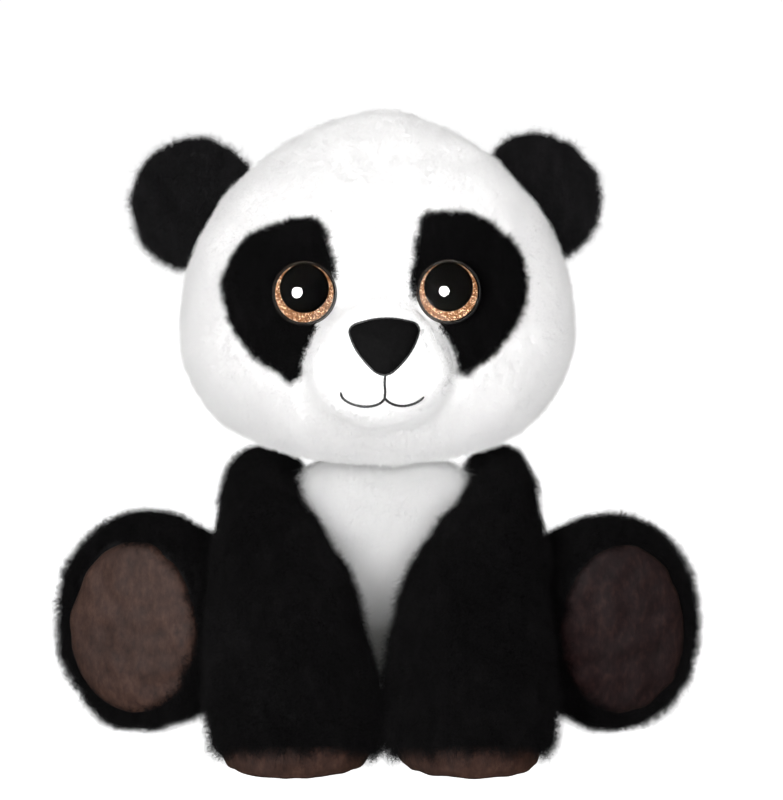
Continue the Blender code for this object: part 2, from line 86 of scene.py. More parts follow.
world = bpy.data.worlds.new("studio")
bpy.context.scene.world = world
world.use_nodes = True
world.node_tree.nodes["Background"].inputs["Color"].default_value = (1.0, 1.0, 1.0, 1.0)
world.node_tree.nodes["Background"].inputs["Strength"].default_value = 1.02
world.cycles_visibility.glossy = False
world.cycles_visibility.transmission = False
world.cycles_visibility.diffuse = False
bpy.context.scene.view_settings.view_transform = "Standard"


def area(name, at, to, size, power, shape="SQUARE", color=(1, 1, 1), glossy=True):
    d = bpy.data.lights.new(name, "AREA")
    d.shape = shape
    d.size = size
    d.energy = power
    d.color = color
    o = bpy.data.objects.new(name, d)
    bpy.context.scene.collection.objects.link(o)
    o.location = P(at)
    o.rotation_euler = (Vector(P(to)) - Vector(P(at))).to_track_quat("-Z", "Y").to_euler()
    o.visible_glossy = glossy
    o.visible_transmission = False
    return o


area("front", (-60, -1180, 330), (0, -20, 110), 0.9, 16.5, glossy=False)
area("key", (-760, -820, 900), (0, -10, 120), 0.9, 1.6, glossy=False)
area("fill", (820, -700, 620), (0, -10, 120), 0.9, 0.8, glossy=False)
area("top", (0, 60, 1250), (0, 0, 100), 1.2, 3.2, glossy=False)
area("rim_left", (-900, 520, 420), (0, 0, 130), 0.8, 3.0, glossy=False)
area("rim_right", (900, 520, 420), (0, 0, 130), 0.8, 3.0, glossy=False)
area("low", (0, -1020, 60), (0, -20, 70), 0.5, 6.5, glossy=False)
dish = area("dish", (-335, -940, 362), (0, -70, 180), 0.48, 30.0, "DISK")
dish.visible_diffuse = False

floor_me = bpy.data.meshes.new("floor")
fb = bmesh.new()
bmesh.ops.create_grid(fb, x_segments=1, y_segments=1, size=4.0)
fb.to_mesh(floor_me)
fb.free()
floor = bpy.data.objects.new("floor", floor_me)
bpy.context.scene.collection.objects.link(floor)
floor.location = (0, 0, -0.0004)


# ---------------------------------------------------------------- materials
def new_mat(name):
    m = bpy.data.materials.new(name)
    m.use_nodes = True
    nt = m.node_tree
    b = nt.nodes["Principled BSDF"]
    return m, nt, b


def link(nt, a, b):
    nt.links.new(a, b)


def coords(nt):
    t = nt.nodes.new("ShaderNodeTexCoord")
    return t.outputs["Object"]


def noise_tex(nt, vec, scale, detail=4.0, rough=0.55, stretch=None, distortion=0.0):
    if stretch is not None:
        m = nt.nodes.new("ShaderNodeMapping")
        m.inputs["Scale"].default_value = stretch
        link(nt, vec, m.inputs["Vector"])
        vec = m.outputs["Vector"]
    n = nt.nodes.new("ShaderNodeTexNoise")
    n.inputs["Scale"].default_value = scale
    n.inputs["Detail"].default_value = detail
    n.inputs["Roughness"].default_value = rough
    n.inputs["Distortion"].default_value = distortion
    link(nt, vec, n.inputs["Vector"])
    return n.outputs["Fac"]


def ramp(nt, fac, stops):
    r = nt.nodes.new("ShaderNodeValToRGB")
    while len(r.color_ramp.elements) < len(stops):
        r.color_ramp.elements.new(0.5)
    for e, (pos, col) in zip(r.color_ramp.elements, stops):
        e.position = pos
        e.color = (*col, 1.0)
    link(nt, fac, r.inputs["Fac"])
    return r.outputs["Color"]


def bump(nt, b, height, strength, distance):
    n = nt.nodes.new("ShaderNodeBump")
    n.inputs["Strength"].default_value = strength
    n.inputs["Distance"].default_value = distance
    link(nt, height, n.inputs["Height"])
    link(nt, n.outputs["Normal"], b.inputs["Normal"])


def plush(name, dark, mid, light, rough, sheen, sheen_tint, scale=260.0, bump_d=0.0009, specular=0.25, sheen_rough=0.5, patch_scale=24.0, stretch=(1, 1, 0.35)):
    """Pile fabric: fine fibre streaks over broad brushed patches."""
    m, nt, b = new_mat(name)
    c = coords(nt)
    fine = noise_tex(nt, c, scale, 5.0, 0.6, stretch)
    broad = noise_tex(nt, c, patch_scale, 3.0, 0.5)
    mix = nt.nodes.new("ShaderNodeMath")
    mix.operation = "MULTIPLY_ADD"
    link(nt, fine, mix.inputs[0])
    mix.inputs[1].default_value = 0.65
    half = nt.nodes.new("ShaderNodeMath")
    half.operation = "MULTIPLY"
    link(nt, broad, half.inputs[0])
    half.inputs[1].default_value = 0.35
    link(nt, half.outputs[0], mix.inputs[2])
    col = ramp(nt, mix.outputs[0], [(0.28, dark), (0.5, mid), (0.74, light)])
    link(nt, col, b.inputs["Base Color"])
    b.inputs["Roughness"].default_value = rough
    b.inputs["Specular IOR Level"].default_value = specular
    b.inputs["Sheen Weight"].default_value = sheen
    b.inputs["Sheen Roughness"].default_value = sheen_rough
    b.inputs["Sheen Tint"].default_value = (*sheen_tint, 1.0)
    bump(nt, b, fine, 0.6, bump_d)
    return m


M_WHITE = plush("white_plush", (0.91, 0.905, 0.902), (0.945, 0.94, 0.938), (0.965, 0.96, 0.958), 0.9, 0.25, (1, 1, 1), scale=330.0, bump_d=0.0005, specular=0.15)
M_MUZZLE = plush("white_muzzle_plush", (0.91, 0.905, 0.902), (0.945, 0.94, 0.938), (0.965, 0.96, 0.958), 0.9, 0.25, (1, 1, 1), scale=420.0, bump_d=0.0004, specular=0.15)
M_CHEST = plush("long_white_plush", (0.94, 0.936, 0.933), (0.97, 0.967, 0.965), (0.985, 0.983, 0.982), 0.9, 0.25, (1, 1, 1), scale=240.0, bump_d=0.0009, specular=0.15)
M_BELLY = plush("belly_plush", (0.88, 0.88, 0.86), (0.92, 0.92, 0.905), (0.95, 0.95, 0.94), 0.9, 0.2, (1, 1, 1), scale=300.0, bump_d=0.0005, specular=0.15)
M_BLACK = plush("black_plush", (0.0012, 0.0010, 0.0012), (0.0028, 0.0024, 0.0027), (0.010, 0.009, 0.0096), 0.62, 0.006, (0.6, 0.6, 0.66), scale=240.0, bump_d=0.0010, specular=0.06, sheen_rough=0.5)
# the ears' black pile: its lighter base colour than the arms' is painted sheen, while its specular and sheen settings
# are real gloss
M_EAR_SHEEN = plush("black_ear_plush_painted_sheen", (0.0022, 0.0020, 0.0023), (0.0058, 0.0052, 0.006), (0.020, 0.018, 0.020), 0.6, 0.02, (0.6, 0.6, 0.66), scale=240.0, bump_d=0.0010, specular=0.14, sheen_rough=0.5)
M_PATCH = plush("black_patch_plush", (0.0012, 0.0010, 0.0012), (0.0028, 0.0025, 0.0028), (0.009, 0.0082, 0.009), 0.65, 0.006, (0.6, 0.6, 0.66), scale=360.0, bump_d=0.0006, specular=0.06)
M_BROWN = plush("brown_velour", (0.012, 0.005, 0.0032), (0.032, 0.0135, 0.0088), (0.066, 0.031, 0.020), 0.75, 0.05, (0.75, 0.5, 0.38), scale=420.0, bump_d=0.0004, specular=0.15, patch_scale=38.0, stretch=(1, 1, 0.6))
# the same brown velour darkened, as painted shade for the right sole
M_BROWN_SHADED = plush("brown_velour_painted_shade", (0.0035, 0.0012, 0.0012), (0.009, 0.0034, 0.0036), (0.024, 0.010, 0.008), 0.8, 0.03, (0.75, 0.5, 0.38), scale=420.0, bump_d=0.0004, specular=0.12, patch_scale=38.0, stretch=(1, 1, 0.6))
M_SUEDE = plush("black_suedette", (0.0008, 0.0007, 0.0008), (0.0016, 0.0015, 0.0016), (0.0035, 0.0033, 0.0035), 0.9, 0.0, (0.5, 0.5, 0.55), scale=900.0, bump_d=0.00015, specular=0.08, patch_scale=120.0, stretch=(1, 1, 1))


def thread_mat(name, a, b_col):
    m, nt, b = new_mat(name)
    c = coords(nt)
    w = nt.nodes.new("ShaderNodeTexWave")
    w.inputs["Scale"].default_value = 260.0
    w.inputs["Distortion"].default_value = 2.0
    w.bands_direction = "DIAGONAL"
    link(nt, c, w.inputs["Vector"])
    link(nt, ramp(nt, w.outputs["Fac"], [(0.2, a), (0.8, b_col)]), b.inputs["Base Color"])
    b.inputs["Roughness"].default_value = 0.55
    bump(nt, b, w.outputs["Fac"], 0.6, 0.0002)
    return m


M_THREAD = thread_mat("black_thread", (0.004, 0.004, 0.004), (0.02, 0.02, 0.02))
M_WTHREAD = thread_mat("white_thread", (0.7, 0.7, 0.69), (0.85, 0.85, 0.84))


def plastic(name, a, b_col, rough, scale=60.0, spec=0.5, coat=0.0):
    m, nt, b = new_mat(name)
    c = coords(nt)
    n = noise_tex(nt, c, scale, 3.0)
    link(nt, ramp(nt, n, [(0.3, a), (0.7, b_col)]), b.inputs["Base Color"])
    r = nt.nodes.new("ShaderNodeMapRange")
    r.inputs["To Min"].default_value = rough * 0.8
    r.inputs["To Max"].default_value = rough * 1.25
    link(nt, n, r.inputs["Value"])
    link(nt, r.outputs["Result"], b.inputs["Roughness"])
    b.inputs["Specular IOR Level"].default_value = spec
    b.inputs["Coat Weight"].default_value = coat
    return m


M_PUPIL = plastic("black_gloss_plastic", (0.0012, 0.0012, 0.0012), (0.002, 0.0018, 0.0018), 0.3, spec=0.08)
M_SHANK = plastic("black_plastic", (0.010, 0.010, 0.010), (0.018, 0.018, 0.018), 0.4)
M_WASHER = plastic("white_plastic", (0.66, 0.66, 0.64), (0.75, 0.75, 0.73), 0.4)
M_FILL = plush("polyester_fibrefill", (0.7, 0.7, 0.7), (0.8, 0.8, 0.8), (0.9, 0.9, 0.9), 1.0, 0.1, (1, 1, 1), scale=150.0, specular=0.1, stretch=(1, 1, 1))
M_BAG = plush("pellet_bag_cloth", (0.6, 0.6, 0.58), (0.7, 0.7, 0.68), (0.78, 0.78, 0.76), 0.9, 0.1, (1, 1, 1), scale=700.0, bump_d=0.0002, specular=0.2, stretch=(1, 1, 1))


def lens_mat():
    m, nt, b = new_mat("clear_plastic")
    c = coords(nt)
    n = noise_tex(nt, c, 90.0, 2.0)
    r = nt.nodes.new("ShaderNodeMapRange")
    r.inputs["To Min"].default_value = 0.015
    r.inputs["To Max"].default_value = 0.035
    link(nt, n, r.inputs["Value"])
    link(nt, r.outputs["Result"], b.inputs["Roughness"])
    b.inputs["Base Color"].default_value = (1, 1, 1, 1)
    b.inputs["Transmission Weight"].default_value = 1.0
    b.inputs["IOR"].default_value = 1.5
    b.inputs["Specular IOR Level"].default_value = 0.5
    return m


M_LENS = lens_mat()


def glitter_glow_mat():
    """Copper foil with fine flakes, each its own brightness and tilt, glowing in its own colour as painted light,
    brightest on the flakes as painted glints.
    """
    m, nt, b = new_mat("copper_glitter")
    c = coords(nt)
    v = nt.nodes.new("ShaderNodeTexVoronoi")
    v.inputs["Scale"].default_value = 3400.0
    link(nt, c, v.inputs["Vector"])
    v2 = nt.nodes.new("ShaderNodeTexVoronoi")
    v2.inputs["Scale"].default_value = 2100.0
    link(nt, c, v2.inputs["Vector"])
    sep = nt.nodes.new("ShaderNodeSeparateColor")
    link(nt, v.outputs["Color"], sep.inputs["Color"])
    sep2 = nt.nodes.new("ShaderNodeSeparateColor")
    link(nt, v2.outputs["Color"], sep2.inputs["Color"])
    mx = nt.nodes.new("ShaderNodeMath")
    mx.operation = "MAXIMUM"
    link(nt, sep.outputs["Red"], mx.inputs[0])
    mul = nt.nodes.new("ShaderNodeMath")
    mul.operation = "MULTIPLY"
    link(nt, sep2.outputs["Green"], mul.inputs[0])
    mul.inputs[1].default_value = 0.95
    link(nt, mul.outputs[0], mx.inputs[1])
    col = ramp(nt, mx.outputs[0], [(0.0, (0.05, 0.018, 0.007)), (0.55, (0.155, 0.055, 0.020)), (0.86, (0.31, 0.135, 0.055)), (0.98, (1.0, 0.80, 0.55))])
    link(nt, col, b.inputs["Base Color"])
    r = nt.nodes.new("ShaderNodeMapRange")
    r.inputs["To Min"].default_value = 0.45
    r.inputs["To Max"].default_value = 0.2
    link(nt, sep.outputs["Green"], r.inputs["Value"])
    link(nt, r.outputs["Result"], b.inputs["Roughness"])
    b.inputs["Metallic"].default_value = 0.55
    # the disc glows in its own colour: painted light, with painted glints on the brightest flakes
    link(nt, col, b.inputs["Emission Color"])
    b.inputs["Emission Strength"].default_value = 1.35
    bump(nt, b, sep.outputs["Blue"], 0.8, 0.0004)
    return m


M_GLITTER_GLOW = glitter_glow_mat()

fm, fnt, fbs = new_mat("studio_floor")
fc = coords(fnt)
link(fnt, ramp(fnt, noise_tex(fnt, fc, 3.0, 2.0), [(0.3, (0.78, 0.78, 0.78)), (0.7, (0.80, 0.80, 0.80))]), fbs.inputs["Base Color"])
fbs.inputs["Roughness"].default_value = 0.9
fbs.inputs["Emission Color"].default_value = (1, 1, 1, 1)
fbs.inputs["Emission Strength"].default_value = 1.0
floor.visible_glossy = False
floor.visible_diffuse = False
floor.visible_transmission = False
floor.data.materials.append(fm)


# ---------------------------------------------------------------- shape helpers
def icosphere(level):
    bm = bmesh.new()
    bmesh.ops.create_icosphere(bm, subdivisions=level, radius=1.0)
    return bm


def get_co(me):
    a = np.empty(len(me.vertices) * 3, np.float64)
    me.vertices.foreach_get("co", a)
    return a.reshape(-1, 3)


def set_co(me, a):
    me.vertices.foreach_set("co", np.asarray(a, np.float32).ravel())
    me.update()


def mesh_from(fn, level, name):
    """A sphere's grid carried onto fn(s, phi) with numpy arrays, in design millimetres, kept in millimetres."""
    bm = icosphere(level)
    me = bpy.data.meshes.new(name)
    bm.to_mesh(me)
    bm.free()
    u = get_co(me)
    u /= np.linalg.norm(u, axis=1, keepdims=True)
    s = np.clip(u[:, 2], -1, 1)
    phi = np.arctan2(u[:, 1], u[:, 0])
    set_co(me, fn(s, phi))
    fix_normals(me)
    return me


def fix_normals(me):
    bm = bmesh.new()
    bm.from_mesh(me)
    bmesh.ops.recalc_face_normals(bm, faces=bm.faces)
    if bm.calc_volume(signed=True) < 0:
        bmesh.ops.reverse_faces(bm, faces=bm.faces)
    bm.to_mesh(me)
    bm.free()


def apply_modifiers(ob):
    dg = bpy.context.evaluated_depsgraph_get()
    me = bpy.data.meshes.new_from_object(ob.evaluated_get(dg))
    old = ob.data
    ob.modifiers.clear()
    ob.data = me
    bpy.data.meshes.remove(old)
    return ob


def remesh(me, voxel_mm, smooth=0):
    ob = bpy.data.objects.new("tmp_remesh", me)
    bpy.context.scene.collection.objects.link(ob)
    r = ob.modifiers.new("r", "REMESH")
    r.mode = "VOXEL"
    r.voxel_size = voxel_mm
    r.adaptivity = 0.0
    if smooth:
        sm = ob.modifiers.new("s", "SMOOTH")
        sm.factor = 0.5
        sm.iterations = smooth
    bpy.context.view_layer.update()
    dg = bpy.context.evaluated_depsgraph_get()
    out = bpy.data.meshes.new_from_object(ob.evaluated_get(dg))
    bpy.data.objects.remove(ob, do_unlink=True)
    bpy.data.meshes.remove(me)
    return out


def puff(me, cap, voxel=5.0, frames=18, pressure=4.0, shrink=0.6):
    """Inflates a closed pad a little as cloth, in metres, and caps how far a point may move."""
    rest = get_co(me).copy()
    ob = bpy.data.objects.new("tmp_cloth", me)
    bpy.context.scene.collection.objects.link(ob)
    low = me.copy()
    lo = bpy.data.objects.new("tmp_low", low)
    bpy.context.scene.collection.objects.link(lo)
    r = lo.modifiers.new("r", "REMESH")
    r.mode = "VOXEL"
    r.voxel_size = voxel
    bpy.context.view_layer.update()
    low2 = bpy.data.meshes.new_from_object(lo.evaluated_get(bpy.context.evaluated_depsgraph_get()))
    lo.modifiers.clear()
    lo.data = low2
    c0 = get_co(low2).copy()
    set_co(low2, c0 * 0.001)
    cl = lo.modifiers.new("cloth", "CLOTH")
    cl.settings.quality = 5
    cl.settings.mass = 0.2
    cl.settings.use_pressure = True
    cl.settings.uniform_pressure_force = pressure
    cl.settings.tension_stiffness = 12
    cl.settings.compression_stiffness = 12
    cl.settings.bending_stiffness = 0.4
    cl.settings.effector_weights.gravity = 0.0
    cl.collision_settings.use_collision = False
    sc = bpy.context.scene
    cl.point_cache.frame_start, cl.point_cache.frame_end = 1, frames
    for f in range(1, frames + 1):
        sc.frame_set(f)
    done = bpy.data.meshes.new_from_object(lo.evaluated_get(bpy.context.evaluated_depsgraph_get()))
    c1 = get_co(done) * 1000.0
    lo.modifiers.clear()
    sc.frame_set(1)
    d = c1 - c0
    n = np.linalg.norm(d, axis=1, keepdims=True)
    d *= np.minimum(1.0, cap / np.maximum(n, 1e-9))
    d = np.nan_to_num(d)
    # carry the capped movement to the fine mesh from the nearest coarse points
    from mathutils.kdtree import KDTree

    kd = KDTree(len(c0))
    for i, p in enumerate(c0):
        kd.insert(p, i)
    kd.balance()
    move = np.zeros_like(rest)
    for i, p in enumerate(rest):
        w, acc = 0.0, np.zeros(3)
        for _, j, dist in kd.find_n(p, 6):
            k = 1.0 / (dist * dist + 4.0)
            acc += d[j] * k
            w += k
        move[i] = acc / w
    bpy.data.objects.remove(lo, do_unlink=True)
    bpy.data.objects.remove(ob, do_unlink=True)
    set_co(me, rest + move * shrink)
    return me


def normals_of(me):
    a = np.empty(len(me.vertices) * 3, np.float64)
    me.vertex_normals.foreach_get("vector", a)
    return a.reshape(-1, 3)


def noise_at(co, scale, seed):
    """Smooth noise for each point, scale in millimetres."""
    off = Vector((seed * 17.13, seed * 5.71, seed * 9.37))
    f = noise.noise
    return np.array([f(Vector(p) + off) for p in co / scale])


def smooth_noise(co, scale, seed, n_waves=40):
    """Fast broad noise from a fixed sum of waves."""
    rng = np.random.default_rng(seed)
    out = np.zeros(len(co))
    for _ in range(n_waves):
        k = rng.normal(size=3)
        k *= (2 * math.pi / scale) / np.linalg.norm(k) * rng.uniform(0.6, 1.5)
        out += np.sin(co @ k + rng.uniform(0, 2 * math.pi))
    return out / math.sqrt(n_waves / 2)


def tufts(me, amp, size, lumps, lump_size, seed, comb=(0, 0, -1), comb_by=0.0, down_stretch=1.8):
    """Pile relief: broad lumps under locks of fibre that lean along comb."""
    co = get_co(me)
    nrm = normals_of(me)
    q = co.copy()
    q[:, 2] /= down_stretch
    a = noise_at(q, size, seed)
    b = noise_at(q, size * 0.47, seed + 3)
    ridge = 1.0 - np.abs(a) * 2.2
    h = amp * (0.62 * np.clip(ridge, -0.6, 1.0) + 0.55 * b)
    h += lumps * smooth_noise(co, lump_size, seed + 7)
    c = np.array(comb, float)
    tang = c - nrm * (nrm @ c)[:, None]
    set_co(me, co + nrm * h[:, None] + tang * (comb_by * np.clip(h, 0, None))[:, None])
    return me


def keep_side(me, point, normal):
    """Cuts the solid by a plane, keeps the normal's side and closes the cut."""
    bm = bmesh.new()
    bm.from_mesh(me)
    r = bmesh.ops.bisect_plane(bm, geom=bm.verts[:] + bm.edges[:] + bm.faces[:], dist=1e-5, plane_co=Vector(point), plane_no=Vector(normal), clear_inner=True)
    edges = [e for e in bm.edges if e.is_boundary]
    bmesh.ops.holes_fill(bm, edges=edges, sides=0)
    bmesh.ops.triangulate(bm, faces=[f for f in bm.faces if len(f.verts) > 4])
    bmesh.ops.recalc_face_normals(bm, faces=bm.faces)
    bm.to_mesh(me)
    bm.free()
    return me


def place(name, me, material, body, node_names=(), smooth=True):
    """Millimetre design mesh to a finished piece in the frame."""
    set_co(me, (get_co(me) + SHIFT) * 0.001)
    me.name = name
    if smooth:
        me.shade_smooth()
    me.materials.clear()
    me.materials.append(material)
    ob = bpy.data.objects.new(name, me)
    bpy.context.scene.collection.objects.link(ob)
    if node_names:
        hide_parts(*node_names)
    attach(ob, body)
    return ob


def group(ob, name, weights):
    vg = ob.vertex_groups.new(name=name)
    w = np.round(np.clip(weights, 0, 1), 2)
    for val in np.unique(w):
        if val > 0:
            vg.add([int(i) for i in np.nonzero(w == val)[0]], float(val), "REPLACE")
    return vg


def fur(ob, count, kids, length, comb=(0, 0, -1), lean=0.55, radius=0.045, density=None, lengths=None, clump=0.25, rough=0.25, seed=1, rand=0.12, tip=0.15, curl=0.0):
    """Seeded pile as hair strands. length is in millimetres, and lean is how far it lies along comb."""
    mod = ob.modifiers.new("pile", "PARTICLE_SYSTEM")
    ps = ob.particle_systems[-1]
    ps.seed = seed
    st = ps.settings
    st.type = "HAIR"
    st.use_advanced_hair = True
    st.emit_from = "FACE"
    st.distribution = "RAND"
    st.use_even_distribution = True
    st.count = max(50, int(count * (1.0)))
    st.hair_step = 3
    L = length * 0.001 / 4.0
    st.normal_factor = L * (1.0 - lean)
    st.object_align_factor = tuple(L * lean * v for v in comb)
    st.factor_random = L * rand
    st.child_type = "INTERPOLATED"
    st.child_percent = 1
    st.rendered_child_count = kids
    st.clump_factor = clump
    st.clump_shape = 0.2
    st.roughness_1 = rough * 0.001 * length * 0.35
    st.roughness_1_size = 0.004
    st.roughness_2 = rough * 0.001 * length * 0.5
    st.roughness_2_size = 0.3
    st.roughness_endpoint = rough * 0.001 * length * 0.6
    st.child_length = 1.0
    st.child_length_threshold = 0.0
    st.display_step = 3
    st.render_step = 3
    st.radius_scale = 0.001
    st.root_radius = radius
    st.tip_radius = radius * tip
    st.use_close_tip = False
    if density is not None:
        ps.vertex_group_density = density
    if lengths is not None:
        ps.vertex_group_length = lengths
    mod.show_viewport = False
    return ps


# ---------------------------------------------------------------- design shapes (as in the CAD)
HEAD_W, HEAD_FRONT, HEAD_BACK = 80.3, 66.0, 60.0
HEAD_MID_Z, HEAD_TOP, HEAD_LOW, HEAD_Y = 160.0, 87.0, 55.8, -8.0
MUZZLE = np.array([0.0, -70.0, 151.0])
MUZZLE_W, MUZZLE_D, MUZZLE_UP, MUZZLE_DOWN = 30.5, 27.0, 31.0, 22.5


def spow(v, p):
    return np.sign(v) * np.abs(v) ** p


def rounded(s, p):
    return np.maximum(0.0, 1.0 - np.abs(s) ** p) ** (1.0 / p)


def head_half_width(z):
    z = np.asarray(z, float)
    up = z > HEAD_MID_Z
    t = np.where(up, (z - HEAD_MID_Z) / HEAD_TOP, (HEAD_MID_Z - z) / HEAD_LOW)
    t = np.clip(t, 0, 1)
    return np.where(up, HEAD_W * (1 - t * t) ** (1 / 1.7), HEAD_W * (1 - t**2.3) ** (1 / 2.3))


def head_shape(inset=0.0):
    def fn(s, phi):
        z = HEAD_MID_Z + np.where(s > 0, HEAD_TOP, HEAD_LOW) * spow(s, 1.05)
        w = head_half_width(z)
        depth = np.where(np.sin(phi) < 0, HEAD_FRONT, HEAD_BACK) * (w / HEAD_W) ** 0.95
        co = np.stack([w * spow(np.cos(phi), 2 / 2.2), HEAD_Y + depth * spow(np.sin(phi), 2 / 2.2), z], 1)
        mid = np.array([0, HEAD_Y, 165.0])
        d = co - mid
        r = np.linalg.norm(d, axis=1, keepdims=True)
        return mid + d * (1 - inset / r)
    return fn


def head_front_y(x, z, inset=0.0):
    w = head_half_width(z) - inset
    depth = HEAD_FRONT * (np.maximum(w, 1e-3) / HEAD_W) ** 0.95 - inset
    return HEAD_Y - depth * np.maximum(0.0, 1 - (np.abs(x) / np.maximum(w, 1e-3)) ** 2.2) ** (1 / 2.2)


def muzzle_y(x, z, grow=0.0):
    s = (z - MUZZLE[2]) / (np.where(z > MUZZLE[2], MUZZLE_UP, MUZZLE_DOWN) + grow)
    q = (x - MUZZLE[0]) / ((MUZZLE_W + grow) * (1.0 - 0.12 * np.clip(s, 0, 1)))
    f = 1 - s * s - q * q
    return MUZZLE[1] - (MUZZLE_D + grow) * np.sign(f) * np.abs(f) / np.sqrt(np.abs(f) + 0.02)


def smin(a, b, k):
    h = np.clip(0.5 + 0.5 * (b - a) / k, 0, 1)
    return b * (1 - h) + a * h - k * h * (1 - h)


def bezier(points, t):
    t = np.asarray(t, float)[:, None]
    pts = [np.array(p, float)[None, :] * np.ones_like(t) for p in points]
    while len(pts) > 1:
        pts = [a * (1 - t) + b * t for a, b in zip(pts, pts[1:])]
    return pts[0]


def mix(a, b, c, u):
    return a * (1 - u) ** 2 + 2 * b * u * (1 - u) + c * u * u


def limb_shape(path, ra, rb, across, p_root, p_tip, inset=0.0, floor=0.0, u0=0.0, u1=1.0, square=1.0, mid_x=None):
    across = np.array(across, float)

    def fn(s, phi):
        u = u0 + (u1 - u0) * (1 - s) / 2
        c = bezier(path, u)
        t = bezier(path, np.minimum(1, u + 1e-3)) - bezier(path, np.maximum(0, u - 1e-3))
        t /= np.linalg.norm(t, axis=1, keepdims=True)
        a = across - t * (t @ across)[:, None]
        a /= np.linalg.norm(a, axis=1, keepdims=True)
        b = np.cross(t, a)
        k = np.where(s > 0, rounded(s, p_root), rounded(s, p_tip))
        if mid_x is not None:
            c = c.copy()
            c[:, 0] = mid_x(u)
        q = c + a * ((ra(u) - inset) * k * spow(np.cos(phi), square))[:, None] + b * ((rb(u) - inset) * k * spow(np.sin(phi), square))[:, None]
        q[:, 2] = np.maximum(q[:, 2], floor)
        return q
    return fn


def torso_shape(inset=0.0, chest=0.0):
    def fn(s, phi):
        z = 44.0 + np.where(s > 0, 97.0 - 44.0 - inset, 50.0 - inset) * s
        k = rounded(s, 2.4)
        h = np.clip(z / 97.0, 0, 1)
        cy = 36.0 - 44.0 * h**1.2
        rx = 52.0 - 10.0 * h - inset
        ry = 38.0 - 6.0 * h - inset
        return np.stack([rx * k * np.cos(phi), cy + ry * k * np.sin(phi), np.maximum(0.6, z)], 1)
    return fn


EYES = {"left": (-29.0, 180.0), "right": (27.0, 180.6)}
EYE_AXIS = {"left": np.array([0.015, -0.987, 0.16]), "right": np.array([-0.14, -0.975, 0.16])}


def eye_base(side):
    ex, ez = EYES[side]
    axis = EYE_AXIS[side] / np.linalg.norm(EYE_AXIS[side])
    return np.array([ex, float(head_front_y(np.array(ex), np.array(ez))), ez]) + axis * 3.9, axis


def seat_eyes(co, level=-0.3):
    """Presses a surface back behind each eye, so that nothing shows through its lens."""
    co = co.copy()
    for side in ("left", "right"):
        base, axis = eye_base(side)
        d = co - base
        h = d @ axis
        r = np.linalg.norm(d - np.outer(h, axis), axis=1)
        lim = level + 3.0 * np.clip((r - 12.2) / 2.2, 0, 1) ** 2
        hit = (r < 14.4) & (h > lim) & (co[:, 1] < -30)
        co[hit] -= np.outer((h - lim)[hit], axis)
    return co


# ---------------------------------------------------------------- head
HEAD_INSET = 1.8
me = mesh_from(head_shape(HEAD_INSET), 6, "head_skin")
co = get_co(me)
front = co[:, 1] < HEAD_Y - 4
my = muzzle_y(co[:, 0], co[:, 2], -1.4)
near = front & (np.abs(co[:, 0]) < 46) & (co[:, 2] > 118) & (co[:, 2] < 196)
new_y = smin(co[:, 1], my, 4.0)
co[near, 1] = new_y[near]
co[:, 0] -= 1.4 * np.clip((np.abs(co[:, 0]) - 20.0) / 40.0, 0, 1)
set_co(me, co)
me = remesh(me, 1.5, smooth=14)
me = puff(me, 2.0, voxel=6.0, pressure=3.0)
co = get_co(me)
me = tufts(me, 0.32, 3.2, 0.35, 26.0, 11, comb_by=0.6)
# neck opening, round the neck stuffing
co = get_co(me)
d = co - np.array([0, -8.0, 100.0])
r = np.linalg.norm(d, axis=1)
inside = r < 16.0
co[inside] = np.array([0, -8.0, 100.0]) + d[inside] / np.maximum(r[inside], 1e-6)[:, None] * 16.0
co = seat_eyes(co)
set_co(me, co)

back_me = me.copy()
front_me = keep_side(me, (0, HEAD_Y - 0.15, 0), (0, -1, 0))
back_me = keep_side(back_me, (0, HEAD_Y + 0.15, 0), (0, 1, 0))


def muzzle_mask(co, soft=0.12):
    s = (co[:, 2] - MUZZLE[2]) / np.where(co[:, 2] > MUZZLE[2], MUZZLE_UP, MUZZLE_DOWN)
    q = co[:, 0] / (MUZZLE_W * (1.0 - 0.12 * np.clip(s, 0, 1)))
    f = 1 - s * s - q * q
    return np.clip(f / soft + 0.5, 0, 1) * (co[:, 1] < -60)


fco = get_co(front_me).copy()
bco = get_co(back_me).copy()
head_front = place("head_face", front_me, M_WHITE, "head", ("face_panel", "muzzle_panel"))
head_back = place("head_back", back_me, M_WHITE, "head", ("head_back_panel",))

# rays onto the finished face, for what sits on it
from mathutils.bvhtree import BVHTree


def tree_of(co, me):
    return BVHTree.FromPolygons([Vector(c) for c in co], [tuple(p.vertices) for p in me.polygons])


FACE_TREE = tree_of(fco, front_me)


def face_y(x, z):
    hit = FACE_TREE.ray_cast(Vector((float(x), -220.0, float(z))), Vector((0, 1, 0)))
    return hit[0].y if hit[0] is not None else float(head_front_y(np.array(float(x)), np.array(float(z)), HEAD_INSET))


# eye patch outlines, in X and Z
PATCH = {
    "left": [(-36.8, 205.6), (-29.6, 207.1), (-23.3, 205.6), (-20.1, 197.7), (-17.9, 189.3), (-17.0, 177.2), (-22.3, 170.7), (-27.7, 161.8), (-30.4, 154.7), (-31.8, 145.9), (-38.5, 149.7), (-47.6, 155.4), (-54.0, 162.9), (-57.7, 170.6), (-60.1, 178.3), (-59.6, 185.3), (-56.0, 192.6), (-51.4, 198.8), (-43.2, 203.1)],
    "right": [(17.4, 208.7), (31.6, 208.8), (40.7, 205.8), (47.9, 199.9), (53.3, 192.7), (56.0, 183.1), (54.5, 173.5), (50.4, 165.1), (44.1, 158.4), (38.7, 153.4), (33.8, 149.5), (31.0, 150.0), (29.8, 156.3), (26.5, 163.6), (20.3, 170.4), (14.2, 177.6), (12.9, 186.8), (14.7, 196.1), (16.0, 202.8)],
}


